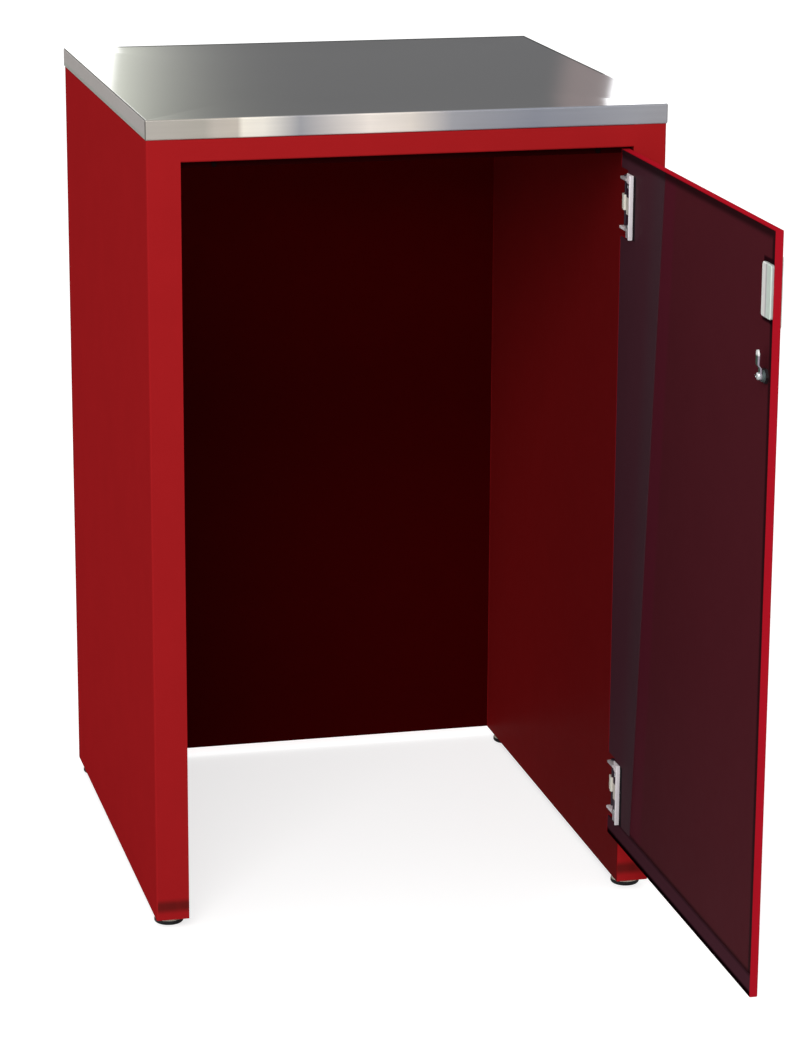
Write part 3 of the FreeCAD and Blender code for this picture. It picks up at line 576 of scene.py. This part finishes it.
def pullNickel(plan):
    inputs, place = startMaterial("pullNickel", plan["roughness"], plan["metallic"])
    low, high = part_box("pull_cup")
    x, y = axes(place)[:2]
    reflectionStripes = ramp(fraction(y, low.y + 0.002, high.y - 0.002), plan["reflectionStripes"])
    tone = blendColour(rise(x, low.x + 0.0006, low.x + 0.0010), reflectionStripes, plan["plain"])
    finishMetal(inputs, place, tone, plan)


# nickel of the cam lever: dark along its shank, with a painted highlight along one edge and a painted
# white highlight at its tip
nickelLever = {
    "shank": (0.075, 0.130, 0.100, 1),
    "rim": (0.34, 0.30, 0.36, 1),
    "tip": (0.95, 0.96, 0.94, 1),
    "tipLength": 0.0055,
    "roughness": 0.36,
    "duller": 0.08,
    "metallic": 0.3,
    "mottle": 0.1,
    "cloudScale": 260.0,
    "grainScale": 900.0,
}


def leverNickel(plan):
    inputs, place = startMaterial("leverNickel", plan["roughness"], plan["metallic"])
    y, z = axes(place)[1:]
    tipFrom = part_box("lock_cam")[1].z - plan["tipLength"]
    # painted highlights: white at the tip, lighter along one edge
    tip = rise(z, tipFrom - 0.0015, tipFrom + 0.001)
    middleY = middle("lock_cam").y
    rim = rise(y, middleY - 0.0015, middleY - 0.0030)
    colour = blendColour(tip, blendColour(rim, plan["shank"], plan["rim"]), plan["tip"])
    finishMetal(inputs, place, colour, plan)


# plain fittings: name, colour, roughness, how much the tone varies, metal share
platings = (
    ("zincPlate", (0.74, 0.74, 0.72, 1), 0.34, 0.12, 0.7),
    ("yellowishZinc", (0.92, 0.89, 0.78, 1), 0.40, 0.08, 0.25),
    # the foot caps' zinc is painted light: lighter than the plain zinc to make up for the shade under
    # the posts
    ("footCapZinc", (0.88, 0.85, 0.72, 1), 0.45, 0.10, 0.2),
    ("oiledSteel", (0.030, 0.018, 0.032, 1), 0.45, 0.20, 0.3),
    ("satinNickel", (0.66, 0.70, 0.67, 1), 0.34, 0.08, 0.5),
    ("polishedNickel", (0.62, 0.67, 0.67, 1), 0.24, 0.05, 0.9),
)


def platedMetal(name, colour, roughness, mottle, metallic):
    inputs, place = startMaterial(name, roughness, metallic)
    cloud = noise(place, 90.0, 4.0)
    tone = shade(colour, remap(cloud, 1 - mottle, 1 + mottle))
    plug(inputs["Base Color"], tone)
    plug(inputs["Roughness"], remap(noise(place, 400.0, 3.0), roughness - 0.08, roughness + 0.1))
    addBump(inputs, noise(place, 900.0, 2.0), 0.00005, 0.4)


# plastic and rubber: name, colour, roughness, specular level
mouldings = (
    ("footPlastic", (0.012, 0.012, 0.013, 1), 0.5, 0.4),
    ("bumperRubber", (0.006, 0.002, 0.002, 1), 0.85, 0.02),
)


def mouldedPlastic(name, colour, roughness, specular):
    inputs, place = startMaterial(name, roughness, 0.0, specular)
    cloud = noise(place, 120.0, 3.0)
    plug(inputs["Base Color"], shade(colour, remap(cloud, 0.85, 1.15)))
    plug(inputs["Roughness"], remap(cloud, roughness - 0.08, roughness + 0.08))
    addBump(inputs, noise(place, 1500.0, 1.0), 0.00005, 0.5)


def fibreBoard():
    inputs, place = startMaterial("fibreBoard", 0.8, 0.0, 0.2)
    flakes = addNode(place.id_data, "ShaderNodeTexVoronoi", Vector=place, Scale=260.0).outputs[0]
    fibres = noise(place, 500.0, 4.0, (0.2, 1, 1))
    colour = blendColour(flakes, (0.38, 0.27, 0.17, 1), (0.52, 0.40, 0.26, 1))
    plug(inputs["Base Color"], shade(colour, remap(fibres, 0.8, 1.15)))
    addBump(inputs, fibres, 0.0002, 0.6)


for mix in (redCoat, headerCoat, wallCoat, backPanelCoat, doorPanCoat, doorInnerCoat, stiffenerCoat):
    mix(coat)
plainCoat("hatSectionCoat", coat["doorMaroon"], coat)
stainless(steel)
leafZinc(zincLeaf)
nutNickel(nickelNut)
pullNickel(nickelPull)
leverNickel(nickelLever)
fibreBoard()
for values in platings:
    platedMetal(*values)
for values in mouldings:
    mouldedPlastic(*values)
print("finishes mixed:", len(finishes))


def finishOf(name):
    exact = {
        "back_panel": "backPanelCoat", "door_outer_panel": "doorPanCoat",
        "door_inner_panel": "doorInnerCoat", "door_stiffener": "stiffenerCoat",
        "worktop_skin": "brushedStainless", "worktop_board": "fibreBoard",
        "door_bumpers": "bumperRubber", "header_rail": "headerCoat",
    }
    starts = {
        "outer_side": "redCoat", "inner_side": "innerWallCoat", "sole_channel": "innerWallCoat",
        "top_channel": "innerWallCoat", "rear_rail": "innerWallCoat", "door_hat": "hatSectionCoat",
        "foot_pad": "footPlastic", "pull_cup": "pullNickel", "pull_": "satinNickel",
        "lock_cam_screw": "polishedNickel", "lock_cam": "leverNickel", "lock_nut": "nutNickel",
        "lock_body": "nutNickel", "lock_plug": "satinNickel", "hinge_bracket": "yellowishZinc",
        "hinge_leaf": "leafZinc", "hinge_pin": "oiledSteel",
    }
    if name in exact:
        return exact[name]
    return next((finish for start, finish in starts.items() if name.startswith(start)), "zincPlate")


for name, node in cadNodes.items():
    node.data.materials.clear()
    node.data.materials.append(finishes[finishOf(name)])
print("finishes laid on the steelwork")


# shapes: each one is an array of points, an array of four-cornered faces, and a list of flat end faces
def skin(rings, closed=False):
    # rings[i][j] is point j of ring i; faces join neighbouring rings, and either the last ring
    # joins the first or each end gets one flat face
    count, around = rings.shape[:2]
    joined = count if closed else count - 1
    row, column = np.meshgrid(np.arange(joined), np.arange(around), indexing="ij")
    nextRow, nextColumn = (row + 1) % count, (column + 1) % around
    quads = np.stack((row * around + column, row * around + nextColumn,
                      nextRow * around + nextColumn, nextRow * around + column), axis=-1).reshape(-1, 4)
    loop = np.arange(around)
    ends = [] if closed else [loop[::-1], loop + (count - 1) * around]
    return rings.reshape(-1, 3), quads, ends


def turned(profile, centre, along=(0, 0, 1), around=48):
    # a profile of radius and height, carried round the line along through centre
    profile = np.asarray(profile, float)
    along = Vector(along).normalized()
    across = along.orthogonal().normalized()
    other = along.cross(across)
    angle = np.linspace(0, 2 * np.pi, around, endpoint=False)
    spoke = np.cos(angle)[:, None] * np.array(across) + np.sin(angle)[:, None] * np.array(other)
    rings = (np.asarray(centre, float) + profile[:, 0, None, None] * spoke[None]
             + profile[:, 1, None, None] * np.array(along))
    return skin(rings)


def roundedOutline(corners, reach, steps=6):
    # each corner becomes a quadratic curve that begins and ends reach away from it
    corners = np.asarray(corners, float)
    reach = np.broadcast_to(reach, len(corners))[:, None]
    toLast = np.roll(corners, 1, axis=0) - corners
    toNext = np.roll(corners, -1, axis=0) - corners
    start = corners + toLast / np.linalg.norm(toLast, axis=1, keepdims=True) * reach
    end = corners + toNext / np.linalg.norm(toNext, axis=1, keepdims=True) * reach
    share = np.linspace(0, 1, steps)[None, :, None]
    curve = (1 - share) ** 2 * start[:, None] + 2 * share * (1 - share) * corners[:, None]
    return (curve + share ** 2 * end[:, None]).reshape(-1, 2)


def inset(outline, distance):
    # every point of a counterclockwise outline moves in, square to the chord between its neighbours
    chord = np.roll(outline, -1, axis=0) - np.roll(outline, 1, axis=0)
    inward = np.stack((-chord[:, 1], chord[:, 0]), axis=1)
    return outline + inward / np.linalg.norm(chord, axis=1, keepdims=True) * distance


def levelRing(centre, radius, angle, height):
    # a ring whose radius may change with the angle
    return np.column_stack((centre.x + radius * np.cos(angle), centre.y + radius * np.sin(angle),
                            np.full(len(angle), height)))


def plate(outline, low, high, edge):
    # an outline raised from low to high with its rims rounded by edge
    turn = np.linspace(0, np.pi / 2, 4)
    steps = [(edge * (1 - np.sin(t)), low + edge * (1 - np.cos(t))) for t in turn]
    steps += [(edge * (1 - np.sin(t)), high - edge * (1 - np.cos(t))) for t in turn[::-1]]
    rings = np.stack([np.column_stack((inset(outline, inward), np.full(len(outline), height)))
                      for inward, height in steps])
    return skin(rings)


def outward(shape):
    # turns all the faces of a closed shape round where the volume inside them comes out negative: the
    # volume is the sum of each triangle's triple product with the shape's middle
    points, quads, ends = shape
    local = points - points.mean(axis=0)
    a, b, c, d = (local[quads[:, corner]] for corner in range(4))
    volume = np.sum(a * np.cross(b, c)) + np.sum(a * np.cross(c, d))
    for end in ends:
        rim = local[end]
        volume += np.sum(rim[0] * np.cross(rim[1:-1], rim[2:]))
    if volume < 0:
        return points, quads[:, ::-1], [end[::-1] for end in ends]
    return shape


def makePiece(name, shapes, body, node, finish, sharp=35.0):
    # one mesh of all the shapes, riding on the body in place of the node
    shapes = [outward(shape) for shape in shapes]
    starts = np.cumsum([0] + [len(shape[0]) for shape in shapes])
    points = np.concatenate([shape[0] for shape in shapes])
    quads = np.concatenate([shape[1] + start for shape, start in zip(shapes, starts)])
    ends = [(end + start).tolist() for shape, start in zip(shapes, starts) for end in shape[2]]
    mesh = bpy.data.meshes.new(name)
    mesh.from_pydata(points.tolist(), [], quads.tolist() + ends)
    mesh.shade_smooth()
    mesh.set_sharp_from_angle(angle=math.radians(sharp))
    mesh.materials.append(finishes[finish])
    piece = bpy.data.objects.new(name, mesh)
    bpy.context.scene.collection.objects.link(piece)
    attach(piece, body)
    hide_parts(node)


# worktop: one sheet wrapped over the board, with a seam down each corner of its band
wrap = {
    "sheet": 0.0012,
    "fold": 0.0018,          # outer radius of the wrapped edges
    "returnWidth": 0.018,    # sheet folded in under the board
    "seamWidth": 0.0009,
    "seamDepth": 0.0008,
    "seamSetback": 0.0024,   # from the corner, along the side
    "dip": 0.00025,          # how far the top hangs between its edges
    "innermost": 0.002,      # half side of the innermost ring
    "topRings": 12,
    "sidePoints": 30,
}


def wrapRing(plan, half, insetBy, height, seam):
    # rounded square moved in by insetBy from half, counterclockwise; near each corner, on the
    # side faces only, a groove runs in by seam
    radius = max(plan["fold"] - insetBy, plan["fold"] * 0.2)
    reach = half - insetBy
    flat = reach - radius
    if insetBy < plan["fold"]:
        groove = np.array([-1.0, -0.5, 0.5, 1.0]) * plan["seamWidth"]
        grooveAt = half - plan["seamSetback"]
        plain = np.linspace(-0.96, 0.96, plan["sidePoints"]) * flat
        along = np.concatenate((groove - grooveAt, plain, groove + grooveAt))
    else:
        along = np.linspace(-flat, flat, plan["sidePoints"] + 8)
    depth = np.zeros_like(along)
    depth[[1, 2, -3, -2]] = seam
    angle = np.linspace(0, np.pi / 2, 7)[1:-1]
    side = np.column_stack((reach - depth, along))
    corner = flat + radius * np.column_stack((np.cos(angle), np.sin(angle)))
    rear = np.column_stack((-along, np.full_like(along, reach)))
    rearCorner = np.column_stack((-corner[:, 1], corner[:, 0]))
    halfRing = np.concatenate((side, corner, rear, rearCorner))
    ring = np.concatenate((halfRing, -halfRing))
    return np.column_stack((ring, np.full(len(ring), height)))


def buildWorktop(plan):
    # inset, height and seam of each ring: out from the middle of the top, round its fold, down the
    # band, round the lower fold, in under the board, and back along the sheet's inner face
    low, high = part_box("worktop_skin")
    half = high.x
    sheet, fold = plan["sheet"], plan["fold"]
    spread = half - plan["innermost"] * np.geomspace(1, half / plan["innermost"] - 1, plan["topRings"])
    hang = plan["dip"] * (1 - (1 - spread / spread[0]) ** 2)
    turn = np.linspace(np.pi / 2, 0, 6)
    steps = [(step, high.z - depth, 0) for step, depth in zip(spread, hang)]
    steps += [(fold * (1 - np.cos(t)), high.z - fold * (1 - np.sin(t)), 0) for t in turn]
    steps += [(0, high.z - fold * 1.2, plan["seamDepth"]), (0, low.z + fold * 1.2, plan["seamDepth"])]
    steps += [(fold * (1 - np.sin(t)), low.z + fold * (1 - np.cos(t)), 0) for t in turn]
    steps += [(plan["returnWidth"], low.z, 0), (plan["returnWidth"], low.z + sheet, 0)]
    steps += [(sheet * 1.01, low.z + sheet, 0), (sheet * 1.01, high.z - sheet, 0)]
    steps += [(step, high.z - sheet, 0) for step in spread[::-1]]
    rings = np.stack([wrapRing(plan, half, *step) for step in steps])
    makePiece("worktopWrap", [skin(rings)], "cabinet", "worktop_skin",
              "brushedStainless", 50)


buildWorktop(wrap)
print("worktop wrapped")


# levelling feet
foot = {
    "padEdge": 0.0012,
    "ribs": 30,
    "ribDepth": 0.0005,
    "capRound": 0.0009,
    "washer": 0.0005,
    "brimInset": 0.0007,
    "pitch": 0.00125,
    "threadDepth": 0.00065,
    "nutChamfer": 0.0008,
    "nutBore": 0.0041,
    "studRadius": 0.004,
    "around": 60,
}


def ribbedPad(plan, centre, radius, height):
    # a disc whose rim radius swings in by ribDepth, ribs times round, between two chamfers
    angle = np.linspace(0, 2 * np.pi, plan["ribs"] * 6, endpoint=False)
    swing = plan["ribDepth"] * (0.5 - 0.5 * np.cos(angle * plan["ribs"]))
    steps = [(radius - plan["padEdge"], 0, 0), (radius, plan["padEdge"], 1), (radius, height * 0.8, 1),
             (radius - plan["padEdge"] / 2, height, 0), (radius * 0.55, height, 0)]
    return skin(np.stack([levelRing(centre, r - swing * share, angle, z) for r, z, share in steps]))


def threadedStud(plan, centre, low, high):
    # radius less threadDepth times a triangle wave of height over pitch less angle over a turn
    angle = np.linspace(0, 2 * np.pi, 24, endpoint=False)
    height = np.arange(low, high, plan["pitch"] / 6)
    phase = (height[:, None] / plan["pitch"] - angle[None] / (2 * np.pi)) % 1
    taper = np.clip((high - height) / 0.0015, 0.75, 1)[:, None]
    spread = (plan["studRadius"] - plan["threadDepth"] * np.abs(2 * phase - 1)) * taper
    rings = np.stack((centre.x + spread * np.cos(angle), centre.y + spread * np.sin(angle),
                      np.broadcast_to(height[:, None], spread.shape)), axis=-1)
    return skin(rings)


def hexNut(plan, centre, low, high):
    # half the width over flats divided by the cosine of the angle from the nearest flat's middle,
    # and no wider than a cone at either end
    angle = np.linspace(0, 2 * np.pi, 72, endpoint=False)
    flats = (high.y - low.y) / 2
    hexagon = flats / np.cos(angle % (np.pi / 3) - np.pi / 6)
    cone = ((0, 0.96), (0.5, 1.06), (1, 1.16))      # shares of the chamfer and of half the width
    steps = [(low.z + plan["nutChamfer"] * share, flats * limit) for share, limit in cone]
    steps += [(high.z - plan["nutChamfer"] * share, flats * limit) for share, limit in cone[::-1]]
    steps += [(high.z, plan["nutBore"]), (low.z, plan["nutBore"])]
    rings = [levelRing(centre, np.minimum(hexagon, limit), angle, height) for height, limit in steps]
    return skin(np.stack(rings), closed=True)


def buildFoot(plan, name):
    padLow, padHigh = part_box("foot_pad_" + name)
    studLow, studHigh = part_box("foot_stud_" + name)
    centre = middle("foot_pad_" + name)
    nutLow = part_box("foot_lock_nut_" + name)[0].z
    capRadius = (studHigh.x - studLow.x) / 2
    body = "foot_" + name
    pad = ribbedPad(plan, centre, (padHigh.x - padLow.x) / 2, padHigh.z)
    makePiece("footPad." + name, [pad], body, "foot_pad_" + name, "footPlastic")
    edge = plan["capRound"]
    brim = (padHigh.x - padLow.x) / 2 - plan["brimInset"]
    washer = padHigh.z + plan["washer"]
    profile = [(brim, padHigh.z), (brim, washer), (capRadius, washer + 0.0001),
               (capRadius, nutLow - edge), (capRadius - edge * 0.3, nutLow - edge * 0.3),
               (capRadius - edge, nutLow), (capRadius * 0.45, nutLow + 0.00005)]
    cap = turned(profile, (centre.x, centre.y, 0), around=plan["around"])
    stud = threadedStud(plan, centre, nutLow, studHigh.z)
    makePiece("footStud." + name, [cap, stud], body, "foot_stud_" + name, "footCapZinc")
    nut = hexNut(plan, centre, *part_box("foot_lock_nut_" + name))
    makePiece("footNut." + name, [nut], body, "foot_lock_nut_" + name, "zincPlate", 25)


for name in ("front_left", "front_right", "rear_left", "rear_right"):
    buildFoot(foot, name)
print("feet turned")


# screws: low domed heads with a cross recess
screws = {
    "leafReach": 0.023,    # from a hinge leaf's middle
    "headRadius": 0.0032,
    "headHeight": 0.0012,
    "slotWidth": 0.28,     # shares of the head's radius
    "slotReach": 0.62,
    "slotDepth": 0.55,     # share of the head's height
    "around": 72,
}


def crossHead(plan, seat, along, radius, height):
    # height falls from the middle as a flat ellipse, and drops where the smaller of the two
    # coordinates lies within half a slot and the larger within its reach
    along = Vector(along).normalized()
    across = along.orthogonal().normalized()
    other = along.cross(across)
    angle = np.linspace(0, 2 * np.pi, plan["around"], endpoint=False)
    reach = np.array([1.0, 0.995, 0.97, 0.92, 0.85, 0.76, 0.66, 0.6, 0.5, 0.4, 0.3, 0.2, 0.1])
    a, b = reach[:, None] * np.cos(angle), reach[:, None] * np.sin(angle)
    small, large = np.minimum(np.abs(a), np.abs(b)), np.maximum(np.abs(a), np.abs(b))
    inSlot = (small < plan["slotWidth"] / 2) & (large < plan["slotReach"])
    dome = np.sqrt(np.clip(1 - reach ** 3, 0, 1))[:, None] - plan["slotDepth"] * inSlot
    spoke = a[..., None] * np.array(across) + b[..., None] * np.array(other)
    return skin(np.array(seat) + radius * spoke + height * dome[..., None] * np.array(along))


def buildScrews(plan):
    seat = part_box("hinge_leaf_screws")[0].x + plan["headHeight"]
    row = middle("hinge_leaf_screws").y
    places = [(seat, row, middle("hinge_leaf_" + side).z + reach)
              for side in ("lower", "upper") for reach in (-plan["leafReach"], plan["leafReach"])]
    heads = [crossHead(plan, place, (-1, 0, 0), plan["headRadius"], plan["headHeight"])
             for place in places]
    makePiece("leafScrewHeads", heads, "door", "hinge_leaf_screws", "polishedNickel")


buildScrews(screws)
print("screws driven")


# hinge leaves: a strip with a raised edge, and two ears that reach round the pin
leaf = {
    "thickness": 0.002,
    "lip": 0.005,
    "width": 0.020,
    "earThickness": 0.003,
    "earInset": 0.007,
    "edge": 0.0005,
}


def buildLeaf(plan, side):
    # the strip's L section is raised along Z; each ear is an outline of rib, arm and eye, raised by
    # its thickness
    low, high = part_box("hinge_leaf_" + side)
    pin = middle("hinge_pin_" + side)
    face = low.x + plan["lip"]            # the door's inner face
    top = face - plan["thickness"]
    near = low.y + plan["width"]
    lip = low.y + plan["thickness"]
    section = roundedOutline([(face, low.y), (face, near), (top, near), (top, lip), (low.x, lip),
                              (low.x, low.y)],
                             (0.0001, 0.0001, 0.0006, 0.0012, 0.0007, 0.0009))
    shapes = [plate(section, low.z, high.z, plan["edge"])]
    eye = high.x - pin.x
    ear = roundedOutline([(face, low.y + 0.0002), (face, near + 0.0014), (pin.x, near + 0.0014),
                          (high.x, pin.y - eye * 0.6), (high.x, high.y), (top, high.y), (top, near),
                          (low.x + 0.0002, low.y + 0.006), (low.x + 0.0002, low.y + 0.0002)],
                         (0.0001, 0.0002, 0.001, 0.0015, 0.0022, 0.0018, 0.001, 0.0015, 0.0002))
    for earFoot in (low.z + plan["earInset"], high.z - plan["earInset"] - plan["earThickness"]):
        shapes.append(plate(ear, earFoot, earFoot + plan["earThickness"], plan["edge"]))
    makePiece("hingeLeaf." + side, shapes, "door", "hinge_leaf_" + side, "leafZinc")


for side in ("upper", "lower"):
    buildLeaf(leaf, side)
print("hinge leaves folded")


# cam lock: a lever that narrows above its eye, and a domed screw
camPlan = {
    "width": 0.0090,
    "neck": 0.0078,
    "thickness": 0.0020,
    "joggle": 0.0030,
    "joggleFrom": 0.32,      # shares of the way from the eye to the tip
    "joggleOver": 0.22,
    "squareness": 0.35,      # 1 makes the bar's section an ellipse, less makes it a rounded oblong
    "rows": 40,
    "headHeight": 0.0030,    # of the screw's head above the lever
    "domeHeight": 0.0036,
    "domeWidth": 1.1,        # share of the screw's own width
    "slotWidth": 0.14,       # shares of the dome's radius
    "slotReach": 0.34,
    "slotDepth": 0.30,       # share of the dome's height
    "around": 72,
}


def buildCam(plan):
    # a rounded bar carried up the lever: its width falls from the eye to the neck and grows to the tip,
    # and its middle steps sideways by the joggle
    low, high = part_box("lock_cam")
    centreY = (low.y + high.y) / 2
    share = np.linspace(0, 1, plan["rows"])
    height = low.z + (high.z - low.z) * (0.5 - 0.5 * np.cos(np.pi * share))
    half = plan["width"] / 2
    eyeZ = low.z + half
    tipZ = high.z - half
    eyeWidth = np.sqrt(np.clip(half ** 2 - (height - eyeZ) ** 2, 0, None))
    tipWidth = np.sqrt(np.clip(half ** 2 - (np.maximum(height, tipZ) - tipZ) ** 2, 0, None))
    along = np.clip((height - eyeZ) / (tipZ - eyeZ), 0, 1)
    shank = np.where(height < eyeZ, 0, plan["neck"] / 2 + (half - plan["neck"] / 2) * along ** 1.3)
    width = np.clip(np.maximum(eyeWidth, np.minimum(shank, tipWidth)), 0.0003, None)
    stepUp = np.clip((along - plan["joggleFrom"]) / plan["joggleOver"], 0, 1)
    centreX = high.x - plan["thickness"] / 2 - plan["joggle"] * stepUp ** 2 * (3 - 2 * stepUp)
    angle = np.linspace(0, 2 * np.pi, 28, endpoint=False)
    across = np.sign(np.cos(angle)) * np.abs(np.cos(angle)) ** plan["squareness"]
    through = np.sign(np.sin(angle)) * np.abs(np.sin(angle)) ** plan["squareness"]
    rings = np.stack((centreX[:, None] + plan["thickness"] / 2 * through[None],
                      centreY + width[:, None] * across[None],
                      np.broadcast_to(height[:, None], (len(height), len(angle)))), axis=-1)
    makePiece("camLever", [skin(rings)], "lock", "lock_cam", "leverNickel")


def buildCamScrew(plan):
    # a half-round head on a short collar, with a small cross recess
    low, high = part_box("lock_cam_screw")
    centre = middle("lock_cam_screw")
    radius = (high.z - low.z) / 2 * plan["domeWidth"]
    seat = Vector((low.x + plan["headHeight"], centre.y, centre.z))
    collar = turned([(radius * 0.93, -0.0010), (radius, -0.0006), (radius, 0.0)], seat, (-1, 0, 0))
    head = crossHead(plan, seat, (-1, 0, 0), radius, plan["domeHeight"])
    makePiece("camScrewHead", [collar, head], "lock", "lock_cam_screw", "polishedNickel")


buildCam(camPlan)
buildCamScrew(camPlan)
print("cam lever cut")


# rubber bumpers behind the header
bumper = {"shoulder": 0.35, "dome": 0.8}


def buildBumpers(plan):
    low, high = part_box("door_bumpers")
    radius = (high.z - low.z) / 2
    height = high.y - low.y
    profile = [(radius, 0), (radius, height * plan["shoulder"]), (radius * 0.94, height * plan["dome"]),
               (radius * 0.75, height * 0.95), (radius * 0.4, height), (radius * 0.05, height)]
    domes = [turned(profile, (x, high.y, (low.z + high.z) / 2), (0, -1, 0))
             for x in (low.x + radius, high.x - radius)]
    makePiece("bumperDomes", domes, "cabinet", "door_bumpers", "bumperRubber")


buildBumpers(bumper)
print("bumpers domed")


# studio: white floor that keeps the shadow, soft sky, one softbox
studio = {
    "sky": 0.82,
    "floorSize": 60.0,
    "floorTone": 0.55,
    "floorLift": 0.70,
    "ceiling": 0.25,
    "ceilingHigh": 0.95,         # overhead
    "ceilingStart": (0.03, 0.10),    # sines of the heights between which the ceiling begins
    "ceilingClear": (0.17, 0.40),    # and between which it brightens
    "windows": 2.6,              # bright windows low beyond the worktop
    "leftWindow": (5.0, 9.2),    # degrees to the right of straight ahead
    "rightWindow": (17.18, 22.0),
    "windowRise": (3.0, 12.0),   # degrees above the horizon
    "leftGlow": 0.85,            # the left window's glow on the wall beside it
    "glowSpread": 4.5,           # degrees until the glow is gone
    "glowFall": 5.0,             # how steeply it goes
    "glowTone": (1.25, 1.27, 1.15, 1),
    "curtain": 16.40,            # where a warm curtain before the right window begins
    "curtainTone": (0.44, 0.375, 0.365, 1),
    "keyPower": 130.0,
    "keyPlace": (-1.6, -4.2, 3.2),
    "keyAim": (0, 0, 0.5),
    "keySize": 3.0,
}


def rayKinds(tree):
    # 1 for rays straight from the camera or through glass, and 1 for those that gloss sends out
    path = addNode(tree, "ShaderNodeLightPath").outputs
    direct = largest(path["Is Camera Ray"], path["Is Transmission Ray"])
    return direct, path["Is Glossy Ray"]


def buildWorld(plan):
    world = bpy.data.worlds.new("studioSky")
    bpy.context.scene.world = world
    world.use_nodes = True
    tree = world.node_tree
    direct, glossy = rayKinds(tree)
    background = tree.nodes["Background"]
    direction = addNode(tree, "ShaderNodeTexCoord").outputs["Generated"]
    x, y, height = axes(direction)
    overhead = product(rise(height, *plan["ceilingStart"]), glossy)
    clear = rise(height, *plan["ceilingClear"])
    ceiling = remap(clear, plan["ceiling"], plan["ceilingHigh"])
    glow = blendColour(overhead, (1, 1, 1, 1), ceiling)
    bearing = maths("ARCTAN2", x, y)
    leftFrom, leftTo = (math.radians(angle) for angle in plan["leftWindow"])
    rightFrom, rightTo = (math.radians(angle) for angle in plan["rightWindow"])
    sill, head = (math.sin(math.radians(angle)) for angle in plan["windowRise"])
    level = product(between(height, sill, head, 0.015), glossy)
    curtain = between(bearing, math.radians(plan["curtain"]), rightTo, 0.004)
    glow = blendColour(product(level, curtain), glow, plan["curtainTone"])
    beyond = fraction(bearing, leftTo, leftTo + math.radians(plan["glowSpread"]))
    spill = maths("POWER", maths("SUBTRACT", 1.0, beyond), plan["glowFall"])
    spill = product(spill, rise(bearing, leftFrom - 0.06, leftFrom), plan["leftGlow"])
    glow = blendColour(product(level, spill), glow, plan["glowTone"])
    panes = largest(between(bearing, leftFrom, leftTo, 0.002),
                    between(bearing, rightFrom, rightTo, 0.001))
    glow = blendColour(product(level, panes), glow, (plan["windows"],) * 3 + (1,))
    backdrop = largest(direct, glossy)
    colour = blendColour(backdrop, (plan["sky"],) * 3 + (1,), glow)
    plug(background.inputs["Color"], colour)


def buildFloor(plan):
    size = plan["floorSize"]
    mesh = bpy.data.meshes.new("floor")
    corners = [(-size, -size, 0), (size, -size, 0), (size, size, 0), (-size, size, 0)]
    mesh.from_pydata(corners, [], [(0, 1, 2, 3)])
    floor = bpy.data.objects.new("floor", mesh)
    bpy.context.scene.collection.objects.link(floor)
    material = bpy.data.materials.new("paleFloor")
    material.use_nodes = True
    tree = material.node_tree
    tree.nodes.clear()
    direct = rayKinds(tree)[0]
    matt = addNode(tree, "ShaderNodeBsdfDiffuse", Color=(plan["floorTone"],) * 3 + (1,))
    lift = addNode(tree, "ShaderNodeEmission", Color=(1, 1, 1, 1),
                   Strength=product(direct, plan["floorLift"]))
    both = addNode(tree, "ShaderNodeAddShader")
    plug(both.inputs[0], matt.outputs[0])
    plug(both.inputs[1], lift.outputs[0])
    addNode(tree, "ShaderNodeOutputMaterial", Surface=both.outputs[0])
    mesh.materials.append(material)


def buildKey(plan):
    lamp = bpy.data.lights.new("softbox", "AREA")
    lamp.energy = plan["keyPower"]
    lamp.size = plan["keySize"]
    holder = bpy.data.objects.new("softbox", lamp)
    holder.location = plan["keyPlace"]
    aim = Vector(plan["keyAim"]) - holder.location
    holder.rotation_euler = aim.to_track_quat("-Z", "Y").to_euler()
    bpy.context.scene.collection.objects.link(holder)


buildWorld(studio)
buildFloor(studio)
buildKey(studio)
bpy.context.scene.view_settings.view_transform = "Standard"
print("studio lit")
